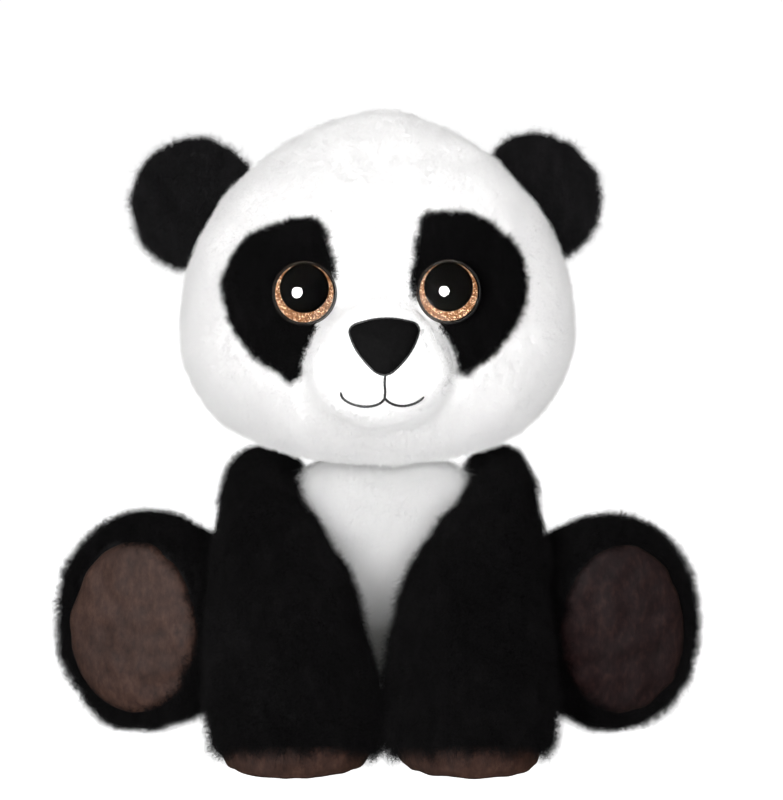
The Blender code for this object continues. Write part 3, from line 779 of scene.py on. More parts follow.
def loop(points, n=8):
    pts = np.array(points, float)
    m = len(pts)
    out = []
    for i in range(m):
        p0, p1, p2, p3 = (pts[(i + k - 1) % m] for k in range(4))
        for k in range(n):
            t = k / n
            out.append(0.5 * ((2 * p1) + (p2 - p0) * t + (2 * p0 - 5 * p1 + 4 * p2 - p3) * t * t + (3 * p1 - 3 * p2 + p3 - p0) * t**3))
    return np.array(out)


def resample(pts, step):
    pts = np.array(pts, float)
    d = np.concatenate([[0], np.cumsum(np.linalg.norm(np.diff(pts, axis=0), axis=1))])
    n = max(4, int(d[-1] / step))
    t = np.linspace(0, d[-1], n + 1)
    return np.stack([np.interp(t, d, pts[:, k]) for k in range(pts.shape[1])], 1)


def inside_dist(poly, pts):
    """Signed distance to a closed outline, positive inside."""
    a, b = poly, np.roll(poly, -1, 0)
    best = np.full(len(pts), 1e9)
    wind = np.zeros(len(pts), bool)
    for p, q in zip(a, b):
        e = q - p
        w = pts - p
        t = np.clip((w @ e) / (e @ e), 0, 1)
        best = np.minimum(best, np.linalg.norm(w - t[:, None] * e, axis=1))
        cross = (p[1] > pts[:, 1]) != (q[1] > pts[:, 1])
        xs = (q[0] - p[0]) * (pts[:, 1] - p[1]) / (q[1] - p[1] + 1e-12) + p[0]
        wind ^= cross & (pts[:, 0] < xs)
    return np.where(wind, best, -best)


def drawn_in(poly, by):
    """The outline moved inwards, so that the pile's spread ends on it."""
    t = np.roll(poly, -2, 0) - np.roll(poly, 2, 0)
    n = np.stack([-t[:, 1], t[:, 0]], 1)
    n /= np.linalg.norm(n, axis=1, keepdims=True)
    if inside_dist(poly, poly[:1] + n[:1] * 0.5)[0] < 0:
        n = -n
    return poly + n * by


PATCH_LOOPS = {k: drawn_in(loop(v), 1.0) for k, v in PATCH.items()}


def patch_mesh(side):
    """A thin pad that follows the brow, thickest in the middle, as a closed solid."""
    from mathutils.geometry import delaunay_2d_cdt

    poly = resample(np.vstack([PATCH_LOOPS[side], PATCH_LOOPS[side][:1]]), 0.8)[:-1]
    lo, hi = poly.min(0), poly.max(0)
    rows = []
    step = 0.85
    for r, z in enumerate(np.arange(lo[1], hi[1], step * 0.866)):
        for x in np.arange(lo[0] + (r % 2) * step / 2, hi[0], step):
            rows.append((x, z))
    rows = np.array(rows)
    rows = rows[inside_dist(poly, rows) > 0.45]
    n = len(poly)
    pts = [Vector(p) for p in np.vstack([poly, rows])]
    edges = [(i, (i + 1) % n) for i in range(n)]
    vs, _, faces, _, _, _ = delaunay_2d_cdt(pts, edges, [], 1, 1e-5)
    vs = np.array([(v.x, v.y) for v in vs])
    d = np.maximum(0, inside_dist(poly, vs))
    rise = 1.7 * (1 - np.exp(-d / 1.1))
    base = np.array([face_y(x, z) for x, z in vs])
    bm = bmesh.new()
    top = [bm.verts.new((x, y - 0.15 - h, z)) for (x, z), y, h in zip(vs, base, rise)]
    bot = [bm.verts.new((x, y + 1.2, z)) for (x, z), y in zip(vs, base)]
    for f in faces:
        bm.faces.new([top[k] for k in f])
        bm.faces.new([bot[k] for k in reversed(f)])
    top_set = {v: i for i, v in enumerate(top)}
    for e in [e for e in bm.edges if e.is_boundary and e.verts[0] in top_set]:
        l = e.link_faces[0].loops
        for lp in l:
            if lp.edge == e:
                p, q = lp.vert, lp.link_loop_next.vert
        bm.faces.new([q, p, bot[top_set[p]], bot[top_set[q]]])
    bmesh.ops.recalc_face_normals(bm, faces=bm.faces)
    me = bpy.data.meshes.new("patch")
    bm.to_mesh(me)
    bm.free()
    fix_normals(me)
    return me


patches, patch_co = {}, {}
for side in ("left", "right"):
    me = patch_mesh(side)
    me = tufts(me, 0.30, 2.2, 0.1, 14.0, 21 if side == "left" else 22, comb_by=0.5)
    pc = get_co(me)
    far = pc[:, 1] > np.array([face_y(x, z) for x, z in pc[:, [0, 2]]]) + 0.5
    pc = np.where(far[:, None], seat_eyes(pc, -1.4), seat_eyes(pc, -0.2))
    set_co(me, pc)
    patch_co[side] = get_co(me).copy()
    patches[side] = place("eye_patch_fur_" + side, me, M_PATCH, "head", ("eye_patch_" + side,))


# ---------------------------------------------------------------- eyes
def frame_at(point, axis, up=Vector((0, 0, 1))):
    z = Vector(axis).normalized()
    x = up.cross(z).normalized()
    y = z.cross(x)
    m = Matrix((x, y, z)).transposed().to_4x4()
    m.translation = Vector(point)
    return m


def turned(profile, m, steps=72):
    bm = bmesh.new()
    verts = [bm.verts.new((r, 0.0, h)) for r, h in profile]
    edges = [bm.edges.new((a, b)) for a, b in zip(verts, verts[1:])]
    if profile[0][0] > 0 and profile[-1][0] > 0:
        edges.append(bm.edges.new((verts[-1], verts[0])))
    bmesh.ops.spin(bm, geom=verts + edges, axis=(0, 0, 1), cent=(0, 0, 0), angle=2 * math.pi, steps=steps, use_duplicate=False)
    bmesh.ops.remove_doubles(bm, verts=bm.verts, dist=1e-4)
    bmesh.ops.recalc_face_normals(bm, faces=bm.faces)
    bm.transform(m)
    me = bpy.data.meshes.new("turned")
    bm.to_mesh(me)
    bm.free()
    fix_normals(me)
    return me


for side in ("left", "right"):
    ex, ez = EYES[side]
    base, axis = eye_base(side)
    m = frame_at(base, axis)
    r = 12.0
    rise = 5.2
    R = (r * r + rise * rise) / (2 * rise)
    a1 = math.asin(r / R)
    dome = [(R * math.sin(a1 * i / 22), 1.9 + rise - R * (1 - math.cos(a1 * i / 22))) for i in range(23)]
    ri = R - 0.55
    dome += [(r, 1.7), (r - 0.05, 1.45), (r - 0.2, 1.32), (11.35, 1.3), (11.27, 1.5)]
    a2 = math.asin(11.25 / ri)
    dome += [(ri * math.sin(a2 * i / 22), 1.9 + rise - R + ri * math.cos(a2 * i / 22)) for i in range(22, -1, -1)]
    lens = place("eye_lens_clear_" + side, turned(dome, m, 96), M_LENS, "head", ("eye_lens_" + side,))
    lens.data.set_sharp_from_angle(angle=math.radians(35))
    g = place("eye_glitter_disc_" + side, turned([(0, 1.85), (10.6, 1.85), (10.9, 1.75), (11.0, 1.6), (10.9, 1.3), (0, 1.3)], m, 96), M_GLITTER_GLOW, "head", ("eye_glitter_" + side,))
    g.data.set_sharp_from_angle(angle=math.radians(35))
    pm = m @ Matrix.Translation((0, 1.75, 0))
    pup = place("eye_pupil_disc_" + side, turned([(0, 2.75), (3, 2.72), (6, 2.62), (8.6, 2.4), (9.15, 2.2), (9.3, 2.1), (9.2, 2.02), (0, 2.02)], pm, 96), M_PUPIL, "head", ("eye_pupil_" + side,))
    place("eye_shank_post_" + side, turned([(0, 1.1), (11.8, 1.1), (11.95, 0.9), (11.8, 0.25), (2.6, 0.05), (2.2, -0.3), (2.1, -3.6), (1.8, -4.0), (0, -4.0)], m, 72), M_SHANK, "head", ("eye_shank_" + side,))
    # a narrow black bezel that the lens snaps into
    bez = place("eye_bezel_" + side, turned([(12.12, 0.2), (12.4, 0.5), (12.42, 1.2), (12.3, 1.6), (12.1, 1.7), (12.06, 1.2)], m, 96), M_PUPIL, "head", ())


# ---------------------------------------------------------------- nose and mouth
def nose_piece():
    half = [(0, 9.4), (4.2, 9.1), (8.6, 8.1), (11.6, 7.0), (13.0, 5.4), (12.9, 3.4), (11.2, -0.6), (8.4, -4.6), (5.0, -8.2), (1.8, -10.4)]
    pts = half + [(-x, z) for x, z in reversed(half[1:])]
    poly = loop(pts, 6)
    c = np.array([1.7, 163.6])
    bm = bmesh.new()
    rings = []
    levels = [1.0, 0.985, 0.95, 0.9, 0.82, 0.7, 0.55, 0.38, 0.2]
    for lv in levels:
        ring = []
        for p in poly:
            x, z = c + p * lv
            edge = 1 - lv
            h = 0.35 + 2.5 * (1 - math.exp(-edge / 0.10)) + 0.8 * edge
            ring.append(bm.verts.new((x, face_y(x, z) - h, z)))
        rings.append(ring)
    mid = bm.verts.new((c[0], face_y(c[0], c[1]) - 3.65, c[1]))
    back = [bm.verts.new((v.co.x, v.co.y + 1.6, v.co.z)) for v in rings[0]]
    backmid = bm.verts.new((c[0], face_y(c[0], c[1]) + 1.5, c[1]))
    n = len(poly)
    for i in range(n):
        j = (i + 1) % n
        for a, b in zip(rings, rings[1:]):
            bm.faces.new((a[i], a[j], b[j], b[i]))
        bm.faces.new((rings[-1][i], rings[-1][j], mid))
        bm.faces.new((rings[0][j], rings[0][i], back[i], back[j]))
        bm.faces.new((back[j], back[i], backmid))
    bmesh.ops.recalc_face_normals(bm, faces=bm.faces)
    me = bpy.data.meshes.new("nose")
    bm.to_mesh(me)
    bm.free()
    fix_normals(me)
    ob = bpy.data.objects.new("tmp", me)
    bpy.context.scene.collection.objects.link(ob)
    s = ob.modifiers.new("s", "SUBSURF")
    s.levels = s.render_levels = 2
    bpy.context.view_layer.update()
    out = bpy.data.meshes.new_from_object(ob.evaluated_get(bpy.context.evaluated_depsgraph_get()))
    bpy.data.objects.remove(ob, do_unlink=True)
    return out, [c + p for p in poly]


nose_me, nose_loop = nose_piece()
nose_me = tufts(nose_me, 0.05, 0.9, 0.06, 6.0, 31)
nose = place("nose_suede", nose_me, M_SUEDE, "head", ("nose",))


def tube(name, pts_mm, radius, material, body, nodes=(), cyclic=False, twist=True):
    """A sewn strand with its twist in the mesh."""
    pts = np.array(pts_mm, float)
    n, seg = len(pts), 10
    bm = bmesh.new()
    rings = []
    s = 0.0
    for i, p in enumerate(pts):
        if cyclic:
            t = pts[(i + 1) % n] - pts[i - 1]
        else:
            t = pts[min(n - 1, i + 1)] - pts[max(0, i - 1)]
        t = Vector(t).normalized()
        a = Vector((0, -1, 0))
        a = (a - t * a.dot(t)).normalized()
        b = t.cross(a)
        if i:
            s += float(np.linalg.norm(pts[i] - pts[i - 1]))
        ring = []
        end = 1.0 if cyclic else min(1.0, 0.35 + 1.3 * min(i, n - 1 - i) / 3)
        for k in range(seg):
            ang = 2 * math.pi * k / seg
            lobe = 1 + (0.16 * math.cos(2 * (ang - s * 2.4)) if twist else 0)
            r = radius * lobe * end
            ring.append(bm.verts.new(Vector(p) + a * (math.cos(ang) * r) + b * (math.sin(ang) * r)))
        rings.append(ring)
    m = n if cyclic else n - 1
    for i in range(m):
        r0, r1 = rings[i], rings[(i + 1) % n]
        for k in range(seg):
            bm.faces.new((r0[k], r0[(k + 1) % seg], r1[(k + 1) % seg], r1[k]))
    if not cyclic:
        bm.faces.new(rings[0])
        bm.faces.new(list(reversed(rings[-1])))
    bmesh.ops.recalc_face_normals(bm, faces=bm.faces)
    me = bpy.data.meshes.new(name)
    bm.to_mesh(me)
    bm.free()
    fix_normals(me)
    return place(name, me, material, body, nodes)


def open_curve(points, n=12):
    pts = np.array(points, float)
    ext = np.vstack([2 * pts[0] - pts[1], pts, 2 * pts[-1] - pts[-2]])
    out = []
    for i in range(len(pts) - 1):
        p0, p1, p2, p3 = ext[i : i + 4]
        for k in range(n):
            t = k / n
            out.append(0.5 * ((2 * p1) + (p2 - p0) * t + (2 * p0 - 5 * p1 + 4 * p2 - p3) * t * t + (3 * p1 - 3 * p2 + p3 - p0) * t**3))
    out.append(pts[-1])
    return np.array(out)


def on_muzzle(x, z, out=0.45):
    return (x, face_y(x, z) - out, z)


CX = 1.9
mouth_c = resample([on_muzzle(CX + 0.1 * math.sin(i), z) for i, z in enumerate(np.linspace(154.6, 143.2, 12))], 0.45)
left_xz = open_curve([(CX, 143.6), (CX - 1.6, 141.6), (CX - 4.4, 140.2), (CX - 7.6, 139.8), (CX - 11.6, 140.4), (CX - 14.8, 141.9), (CX - 16.3, 143.5), (CX - 16.7, 145.3)])
right_xz = open_curve([(CX, 143.6), (CX + 1.6, 141.8), (CX + 4.2, 140.5), (CX + 7.4, 140.0), (CX + 10.8, 140.6), (CX + 13.2, 141.8), (CX + 14.8, 143.2)])
tube("mouth_stitch_centre", mouth_c, 0.48, M_THREAD, "head", ("mouth_thread_centre",))
tube("mouth_stitch_left", resample([on_muzzle(x, z) for x, z in left_xz], 0.45), 0.48, M_THREAD, "head", ("mouth_thread_left",))
tube("mouth_stitch_right", resample([on_muzzle(x, z) for x, z in right_xz], 0.45), 0.48, M_THREAD, "head", ("mouth_thread_right",))
# whip stitches round the nose's edge
nl = np.array(nose_loop)
nose_edge = [(x, face_y(x, z) - 0.55, z) for x, z in nl]
nose_edge = resample(nose_edge + nose_edge[:1], 0.5)[:-1]
tube("nose_edge_stitch", nose_edge, 0.42, M_THREAD, "head", (), cyclic=True)



# ---------------------------------------------------------------- ears
EARS = {"left": (-75.0, 208.0, 26.0), "right": (62.8, 209.8, 25.5)}
EAR_Y, EAR_T, EAR_LIFT = -3.0, 7.0, 2.6


def unit(v):
    v = np.array(v, float)
    return v / np.linalg.norm(v)


def ear_frame(side):
    ex, ez, er = EARS[side]
    sx = -1.0 if side == "left" else 1.0
    zs = np.arange(720, 960) / 4.0
    hw = head_half_width(zs)
    zb = zs[np.argmin(np.hypot(sx * hw - ex, zs - ez))]
    tangent = unit((sx * float(head_half_width(zb + 0.5) - head_half_width(zb - 0.5)), 0, 1.0))
    outward = unit((tangent[2] * sx, 0, -tangent[0] * sx))
    seat = np.array([sx * float(head_half_width(zb)), EAR_Y, zb]) + outward * EAR_LIFT
    centre = np.array([ex, EAR_Y, ez])
    facing = unit((sx * 0.16, -0.98, 0.08))
    out_dir = np.cross(facing, tangent)
    if out_dir @ outward < 0:
        out_dir = -out_dir
    out_dir = unit(out_dir)
    return {"centre": centre, "along": tangent, "out": out_dir, "facing": facing, "r": er, "lift": float((seat - centre) @ outward)}


def off_plane(co, point, normal, tol=0.06):
    """1 away from a cut plane and 0 on it."""
    return (np.abs((co - np.array(point)) @ unit(normal)) > tol).astype(float)


ear_obs = {}
for side in ("left", "right"):
    E = ear_frame(side)

    def ear_fn(s, phi, E=E):
        k = rounded(s, 2.2)
        r = E["r"] - 1.6
        a, b = r * k * np.cos(phi), r * k * np.sin(phi)
        t = (EAR_T - 0.9) * s
        near = np.clip((b - E["lift"]) / 15.0, 0, 1)
        t = t * (0.5 + 0.5 * near)
        rad = np.hypot(a, b - 3.0) / r
        t = t - np.where(s > 0, 2.6 * np.clip(1 - (rad / 0.74) ** 2, 0, 1), 0)
        return E["centre"] + np.outer(a, E["along"]) + np.outer(b, E["out"]) + np.outer(t, E["facing"])

    me = mesh_from(ear_fn, 6, "ear")
    me = remesh(me, 0.8, smooth=2)
    me = puff(me, 1.0, voxel=3.0, pressure=3.0)
    me = tufts(me, 0.38, 2.6, 0.25, 15.0, 41 if side == "left" else 42, comb=tuple(E["out"]), comb_by=0.6, down_stretch=1.0)
    base = E["centre"] + E["out"] * (E["lift"] - 9.0)
    me = keep_side(me, base, E["out"])
    # the base follows the head's curve, a little above its skin
    c = get_co(me)
    outline_z = np.linspace(104.5, 246.8, 240)
    hw = head_half_width(outline_z) - HEAD_INSET + 0.5
    outline = np.concatenate([np.stack([hw, outline_z], 1), np.stack([-hw, outline_z], 1)[::-1]])
    outline[:, 0] -= 1.4 * np.clip((np.abs(outline[:, 0]) - 20.0) / 40.0, 0, 1)
    # and rises to either side of the fold, so that the ear can turn on its seam
    deep = inside_dist(outline, c[:, [0, 2]]) + 0.6 * np.abs((c - E["centre"]) @ E["facing"])
    c = c + np.outer(np.clip(deep, 0, None), E["out"])
    set_co(me, c)
    back = me.copy()
    me = keep_side(me, E["centre"] + E["facing"] * 0.1, E["facing"])
    back = keep_side(back, E["centre"] - E["facing"] * 0.1, -E["facing"])
    for half, m, sgn, nodes in (("front", me, 1, ("ear_front_", "ear_filling_")), ("back", back, -1, ("ear_back_",))):
        c = get_co(m).copy()
        ob = place("ear_%s_fur_%s" % (half, side), m, M_EAR_SHEEN, "ear_" + side, tuple(n + side for n in nodes))
        w = (inside_dist(outline, c[:, [0, 2]]) < -0.6).astype(float)
        ear_obs[(side, half)] = (ob, c, w, E)


# ---------------------------------------------------------------- torso
SHOULDER, HIP, NECK = np.array([44.0, -9.0, 81.0]), np.array([46.0, 22.0, 31.0]), np.array([0.0, -8.0, 100.0])


def push_out(co, centre, r):
    d = co - centre
    n = np.linalg.norm(d, axis=1, keepdims=True)
    return np.where(n < r, centre + d / np.maximum(n, 1e-6) * r, co)


def carve(co, centre, r):
    """Draws points inside the ball in towards the middle, onto the ball's inner side."""
    d = co - centre
    flat = d[:, 1] ** 2 + d[:, 2] ** 2
    hit = (flat < r * r) & (np.abs(co[:, 0]) * 0 + d[:, 0] * np.sign(centre[0]) > -np.sqrt(np.maximum(0, r * r - flat)))
    x = centre[0] - np.sign(centre[0]) * np.sqrt(np.maximum(0, r * r - flat))
    out = co.copy()
    out[hit, 0] = x[hit]
    return out


def torso_fn(s, phi, inset=0.9):
    up = s > 0
    back_k = np.where(up, rounded(s, 6.0), rounded(s, 2.4))
    front_k = np.where(up, rounded(s, 5.5), back_k)
    f = np.clip(0.5 - 0.9 * np.sin(phi), 0, 1)
    z = 44.0 + np.where(up, 54.5 + 2.5 * f - inset, 50.0 - inset) * s
    k = back_k * (1 - f) + front_k * f
    h = np.clip(z / 97.0, 0, 1)
    cy = 36.0 - 44.0 * h**1.2
    rx = 52.0 - (9.0 + 4.0 * f) * h - inset
    ry = 38.0 - 6.0 * h - inset
    y = cy + ry * k * np.sin(phi)
    y = y - np.where(np.sin(phi) < 0, 6.0 * np.exp(-(((z - 82.0) / 20.0) ** 2)) * np.abs(np.sin(phi)), 0)
    x = rx * k * spow(np.cos(phi), 1.0 - 0.35 * f)
    # the chest is fuller on the wearer's left
    x = x + 2.0 * f * np.clip((z - 60.0) / 25.0, 0, 1)
    return np.stack([x, y, np.maximum(0.6, z)], 1)


me = mesh_from(torso_fn, 6, "torso")
me = remesh(me, 1.4, smooth=3)
me = puff(me, 1.6, voxel=5.0, pressure=3.0)
c = get_co(me)
c[:, 2] = np.maximum(c[:, 2], 0.6)
for sx in (-1, 1):
    m3 = np.array([sx, 1, 1])
    c = carve(c, SHOULDER * m3, 24.4)
    c = carve(c, HIP * m3, 24.6)
c = push_out(c, NECK, 16.0)
set_co(me, c)
me = tufts(me, 0.35, 3.4, 0.3, 24.0, 51, comb_by=0.6)
c = get_co(me)
c[:, 2] = np.maximum(c[:, 2], 0.4)
set_co(me, c)
side_dir = unit((0, -44.0, 97.0))
front_n = unit((0, -side_dir[2], side_dir[1]))
side_pt = np.array([0, 36.0, 0])
BELLY_Z, YOKE_Z, SEAT_Z = 40.0, 62.0, 2.4
UP, DOWN = (0, 0, 1), (0, 0, -1)
torso_obs = {}
for name, material, planes, nodes, slot_name in (
    ("chest_fur", M_CHEST, [(side_pt, front_n), ((0, 0, BELLY_Z), UP)], ("chest_panel",), "long_white_plush"),
    ("belly_fur", M_BELLY, [(side_pt, front_n), ((0, 0, BELLY_Z), DOWN), ((0, 0, SEAT_Z), UP)], ("belly_panel",), "white_plush"),
    ("shoulder_fur", M_BLACK, [(side_pt, -front_n), ((0, 0, YOKE_Z), UP)], ("shoulder_yoke",), "black_plush"),
    ("back_fur", M_WHITE, [(side_pt, -front_n), ((0, 0, YOKE_Z), DOWN), ((0, 0, SEAT_Z), UP)], ("back_panel",), "white_plush"),
    ("seat_fur", M_WHITE, [((0, 0, SEAT_Z), DOWN)], ("seat_panel",), "white_plush"),
):
    m = me.copy()
    for p, n in planes:
        m = keep_side(m, p, n)
    c = get_co(m).copy()
    w = np.ones(len(c))
    for p, n in planes:
        w *= off_plane(c, p, n)
    ob = place(name, m, material, "torso", nodes)
    torso_obs[name] = (ob, c, w)


# ---------------------------------------------------------------- arms, paws, legs and soles
PAW_X = 32.6
ARM_RA, ARM_RB = (14.0, 18.5, 40.0), (16.0, 21.0, 37.0)
FEET = {
    "left": {"c": np.array([-99.0, -50.0, 44.0]), "rx": 31.5, "rz": 44.0, "n": unit((-0.30, -0.95, 0.10))},
    "right": {"c": np.array([97.0, -50.0, 43.0]), "rx": 30.5, "rz": 43.0, "n": unit((0.26, -0.96, 0.08))},
}
limb_obs = {}
for side, sx in (("left", -1.0), ("right", 1.0)):
    seed = 60 if side == "left" else 70
    # the arm's inner and outer edges from the shoulder down to the paw
    at = np.array([0, 0.1, 0.25, 0.35, 0.45, 0.5, 0.6, 0.75, 0.9, 1.0])
    if side == "left":
        inner = np.array([31.0, 33.5, 35.5, 32.5, 25.5, 20.0, 12.5, 6.7, 0.2, -1.0])
        outer = np.array([60.0, 61.5, 62.5, 63.0, 62.8, 63.5, 64.3, 64.6, 63.4, 62.5])
    else:
        inner = np.array([33.0, 36.0, 37.5, 34.0, 24.5, 19.0, 11.0, 5.6, 3.2, 2.4])
        outer = np.array([59.0, 60.5, 61.3, 61.8, 62.8, 63.1, 63.6, 64.2, 63.9, 63.4])
    end_k = np.where(at < 0.5, rounded(1 - 2 * at, 4.4), rounded(1 - 2 * at, 3.4))
    half = (outer - inner) / 2 / np.clip(end_k, 0.68, 1)
    path = [(sx * 47.5, 12.0, 90.5), (sx * 50.0, -36.0, 88.5), (sx * 39.5, -86.0, 72.0), (sx * PAW_X, -99.0, -7.0)]
    fn = limb_shape(path, lambda u, at=at, half=half: np.interp(u, at, half), lambda u: mix(20.0, 22.5, 34.5, u), (1, 0, 0), 3.7, 3.4, 1.9, 0.8, square=0.88,
                    mid_x=lambda u, at=at, m=sx * (inner + outer) / 2: np.interp(u, at, m))
    me = mesh_from(fn, 6, "arm")
    me = remesh(me, 1.5, smooth=8)
    me = puff(me, 1.8, voxel=5.0, pressure=3.0)
    c = get_co(me)
    pad_pt, pad_n = np.array([sx * PAW_X, -97.0, 7.6]), unit((0, -0.33, -0.944))
    # the seam to the paw pad draws the cover in a little
    d = np.abs((c - pad_pt) @ pad_n)
    axis_c = np.stack([np.full(len(c), sx * (inner[-1] + outer[-1]) / 2), np.full(len(c), -97.0), c[:, 2]], 1)
    r = c - axis_c
    pinch = 1.0 - 0.045 * np.exp(-((d / 1.6) ** 2))
    low = c[:, 2] < 25
    c[low] = (axis_c + r * pinch[:, None])[low]
    c[:, 2] = np.maximum(c[:, 2], 0.8)
    set_co(me, c)
    pad_me = me.copy()
    me = tufts(me, 0.42, 3.2, 0.45, 22.0, seed, comb_by=0.7)
    me = keep_side(me, pad_pt - pad_n * 0.1, -pad_n)
    c = get_co(me).copy()
    ob = place("arm_fur_" + side, me, M_BLACK, "arm_" + side, ("arm_cover_" + side, "arm_stuffing_" + side))
    limb_obs["arm_" + side] = (ob, c, off_plane(c, pad_pt - pad_n * 0.1, pad_n))
    pad_me = keep_side(pad_me, pad_pt + pad_n * 0.1, pad_n)
    pad_me = tufts(pad_me, 0.05, 1.2, 0.2, 9.0, seed + 3, comb_by=0.2)
    c = get_co(pad_me)
    c[:, 2] = np.maximum(c[:, 2], 0.3)
    set_co(pad_me, c)
    c = get_co(pad_me).copy()
    ob = place("paw_pad_velour_" + side, pad_me, M_BROWN, "arm_" + side, ("paw_pad_" + side,))
    limb_obs["pad_" + side] = (ob, c, off_plane(c, pad_pt + pad_n * 0.1, pad_n))

    F = FEET[side]
    fc_, fn_ = F["c"], F["n"]
    path = [(sx * 38.0, 41.0, 29.0), (sx * 60.0, 10.0, 28.0), tuple(fc_ - fn_ * 30.0 + np.array([sx * 1.0, 0, 0])), tuple(fc_ + fn_ * 2.0 + np.array([sx * 1.6, 0, 0]))]
    across = unit((fn_[1], -fn_[0], 0))
    fn = limb_shape(path, lambda u, F=F: mix(20.0, 26.0, F["rx"] + 9.6, u), lambda u, F=F: mix(21.0, 27.0, F["rz"] + 8.0, u), across, 2.6, 4.2, 2.2, 0.8)
    me = mesh_from(fn, 6, "leg")
    me = remesh(me, 1.5, smooth=3)
    me = puff(me, 1.8, voxel=5.0, pressure=3.0)
    c = get_co(me)
    c[:, 2] = np.maximum(c[:, 2], 0.8)
    set_co(me, c)
    me = tufts(me, 0.42, 3.2, 0.4, 22.0, seed + 5, comb=tuple(-fn_), comb_by=0.3)
    c = get_co(me)
    c[:, 2] = np.maximum(c[:, 2], 0.5)
    set_co(me, c)
    c = get_co(me).copy()
    ob = place("leg_fur_" + side, me, M_BLACK, "leg_" + side, ("leg_cover_" + side, "leg_stuffing_" + side))
    limb_obs["leg_" + side] = (ob, c, np.ones(len(c)))

    # sole pillow
    A = across
    B = unit(np.cross(A, fn_))
    if B[2] < 0:
        B = -B
    sa, sb = F["rx"] - 3.9, 34.6 if side == "left" else 34.0
    sc = fc_ + B * (-1.5)

    def sole_fn(s, phi, sa=sa, sb=sb, sc=sc, A=A, B=B, n=fn_):
        k = rounded(s, 2.6)
        egg = 1.0 - 0.05 * np.sin(phi)
        a, b = sa * k * np.cos(phi) * egg, sb * k * np.sin(phi)
        t = np.where(s > 0, 6.0, 4.0) * s
        p = sc + np.outer(a, A) + np.outer(b, B) + np.outer(t, n)
        p[:, 2] = np.maximum(p[:, 2], 0.8)
        return p

    me = mesh_from(sole_fn, 6, "sole")
    me = remesh(me, 1.0, smooth=2)
    me = puff(me, 1.2, voxel=3.5, pressure=3.0)
    me = tufts(me, 0.06, 1.4, 0.3, 13.0, seed + 8, comb_by=0.2)
    c = get_co(me)
    c[:, 2] = np.maximum(c[:, 2], 0.5)
    set_co(me, c)
    c = get_co(me).copy()
    # the right sole takes the darkened velour, which is painted shade
    ob = place("sole_velour_" + side, me, M_BROWN if side == "left" else M_BROWN_SHADED, "leg_" + side, ("foot_sole_" + side,))
    limb_obs["sole_" + side] = (ob, c, np.ones(len(c)))


# ---------------------------------------------------------------- pile
def near_curve(co, pts, r):
    """0 on the curve, 1 beyond r, in X and Z."""
    best = np.full(len(co), 1e9)
    for a, b in zip(pts[:-1], pts[1:]):
        e = b - a
        w = co[:, [0, 2]] - a
        t = np.clip((w @ e) / max(e @ e, 1e-9), 0, 1)
        best = np.minimum(best, np.linalg.norm(w - t[:, None] * e, axis=1))
    return np.clip(best / r, 0, 1)


def face_weights(c):
    """Where the face has pile, and how long it is, as shares."""
    dens = np.ones(len(c))
    length = np.ones(len(c))
    facing = c[:, 1] < -40
    xz = c[:, [0, 2]]
    for k, poly in PATCH_LOOPS.items():
        sel = facing & (np.abs(xz[:, 0] - poly[:, 0].mean()) < 45)
        d = np.full(len(c), -99.0)
        d[sel] = inside_dist(poly, xz[sel])
        dens[d > -0.2] = 0
        length *= np.where(d > -6, 0.45 + 0.55 * np.clip(-d / 6.0, 0, 1), 1.0)
    sel = facing & (np.abs(xz[:, 0]) < 22)
    d = np.full(len(c), -99.0)
    nose_poly = np.array(nose_loop)
    d[sel] = inside_dist(nose_poly, xz[sel])
    dens[d > -0.6] = 0
    length *= np.where(d > -7, 0.25 + 0.75 * np.clip(-d / 7.0, 0, 1), 1.0)
    s = (c[:, 2] - MUZZLE[2]) / np.where(c[:, 2] > MUZZLE[2], MUZZLE_UP, MUZZLE_DOWN)
    q = c[:, 0] / MUZZLE_W
    m = np.clip((1.15 - s * s - q * q) / 0.35, 0, 1) * facing
    length *= 1 - 0.62 * m
    mouth = np.vstack([np.array([(CX, 154.6), (CX, 143.6)])])
    for curve in (mouth, left_xz[::3], right_xz[::3]):
        n = near_curve(c, np.array(curve), 4.0)
        n = np.where(facing, n, 1)
        dens[n < 0.32] = 0
        length *= 0.35 + 0.65 * n
    return dens, length


D, Ls = face_weights(fco)
D = D * off_plane(fco, (0, HEAD_Y - 0.15, 0), (0, 1, 0))
neck_d = np.linalg.norm(fco - NECK, axis=1)
D = D * (neck_d > 17.5)
chin = np.clip((124 - fco[:, 2]) / 16.0, 0, 1)
Ls = np.clip(Ls * (0.72 - 0.34 * chin), 0, 1)
group(head_front, "density", D)
group(head_front, "length", Ls)
fur(head_front, 15000, 14, 5.6, comb=(0, 0.2, -1), lean=0.42, radius=0.07, density="density", lengths="length", clump=0.6, rough=0.9, seed=101, rand=0.35)
w = off_plane(bco, (0, HEAD_Y + 0.15, 0), (0, 1, 0)) * (np.linalg.norm(bco - NECK, axis=1) > 17.5)
group(head_back, "density", w)
fur(head_back, 11000, 14, 4.6, comb=(0, 0.2, -1), lean=0.42, radius=0.07, density="density", clump=0.6, rough=0.9, seed=102, rand=0.35)
for side in ("left", "right"):
    c = patch_co[side]
    base = np.array([face_y(x, z) for x, z in c[:, [0, 2]]])
    w = (c[:, 1] < base - 0.05).astype(float)
    ex, ez = EYES[side]
    w[np.hypot(c[:, 0] - ex, c[:, 2] - ez) < 12.4] = 0
    group(patches[side], "density", w)
    fur(patches[side], 2600, 14, 3.6, comb=(0, -0.1, -0.6), lean=0.2, radius=0.08, density="density", clump=0.85, rough=1.0, seed=103, rand=0.45)
for (side, half), (ob, c, w, E) in ear_obs.items():
    group(ob, "density", w)
    fur(ob, 2200, 16, 4.6, comb=tuple(0.4 * E["out"] + np.array([0, 0, -0.5])), lean=0.3, radius=0.09, density="density", clump=0.9, rough=1.1, seed=110, rand=0.5)
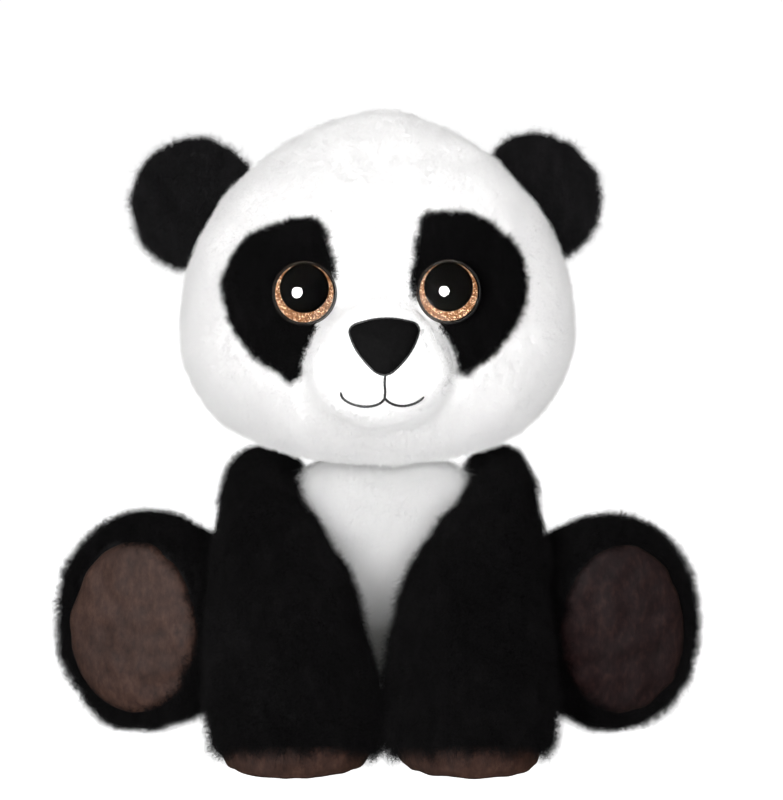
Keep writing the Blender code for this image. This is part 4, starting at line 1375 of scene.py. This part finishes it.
for name, count, length, lean in (("chest_fur", 4800, 9.0, 0.3), ("belly_fur", 3000, 4.2, 0.5), ("shoulder_fur", 4200, 5.4, 0.35), ("back_fur", 5200, 4.4, 0.5)):
    ob, c, w = torso_obs[name]
    near_joint = np.ones(len(c))
    for sx in (-1, 1):
        m3 = np.array([sx, 1, 1])
        near_joint *= np.linalg.norm(c - HIP * m3, axis=1) > 25.5
        if name != "chest_fur":
            near_joint *= np.linalg.norm(c - SHOULDER * m3, axis=1) > 20.5
    near_joint *= np.linalg.norm(c - NECK, axis=1) > 17.0
    group(ob, "density", w * near_joint)
    fur(ob, count, 14, length, comb=(0, -0.3, -1), lean=lean, radius=0.085, density="density", clump=0.85, rough=1.0, seed=120, rand=0.4)
for side, sx in (("left", -1.0), ("right", 1.0)):
    ob, c, w = limb_obs["arm_" + side]
    w = w * (c[:, 2] > 1.6)
    group(ob, "density", w)
    fur(ob, 7500, 16, 6.6, comb=(0, -0.15, -1), lean=0.42, radius=0.095, density="density", clump=0.9, rough=1.1, seed=130, rand=0.5)
    ob, c, w = limb_obs["leg_" + side]
    F = FEET[side]
    on_sole = ((c - F["c"]) @ F["n"] > -1.5)
    r = c - F["c"]
    A = unit((F["n"][1], -F["n"][0], 0))
    B = unit(np.cross(A, F["n"]))
    rad = np.hypot((r @ A) / (F["rx"] - 4.5), ((r @ B)) / 35.0)
    w = np.where(on_sole & (rad < 1.0), 0, 1.0) * (c[:, 2] > 1.6) * (np.linalg.norm(c - HIP * np.array([sx, 1, 1]), axis=1) > 24)
    group(ob, "density", w)
    fur(ob, 7500, 16, 6.8, comb=tuple(np.array([0, 0, -0.3]) + 0.7 * F["n"]), lean=0.35, radius=0.095, density="density", clump=0.9, rough=1.1, seed=131, rand=0.5)


# ---------------------------------------------------------------- what the CAD keeps
NODE_LOOK = {
    "torso_stuffing": M_FILL, "neck_stuffing": M_FILL, "head_stuffing": M_FILL, "muzzle_stuffing": M_FILL,
    "arm_stuffing": M_FILL, "leg_stuffing": M_FILL, "ear_filling": M_FILL, "pellet_bag": M_BAG,
    "neck_seam_thread": M_WTHREAD, "eye_shank": M_SHANK, "eye_washer": M_WASHER, "eye_glitter": M_GLITTER_GLOW,
    "eye_pupil": M_PUPIL, "eye_lens": M_LENS, "mouth_thread": M_THREAD, "nose": M_SUEDE, "eye_patch": M_PATCH,
    "ear_front": M_BLACK, "ear_back": M_BLACK, "arm_cover": M_BLACK, "leg_cover": M_BLACK, "shoulder_yoke": M_BLACK,
    "paw_pad": M_BROWN, "foot_sole": M_BROWN, "chest_panel": M_CHEST, "belly_panel": M_BELLY,
    "back_panel": M_WHITE, "seat_panel": M_WHITE, "face_panel": M_WHITE, "head_back_panel": M_WHITE, "muzzle_panel": M_WHITE,
}
for name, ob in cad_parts.items():
    look = next(m for key, m in NODE_LOOK.items() if name.startswith(key))
    if not ob.data.materials:
        ob.data.materials.append(look)
    for i in range(len(ob.data.materials)):
        ob.data.materials[i] = look
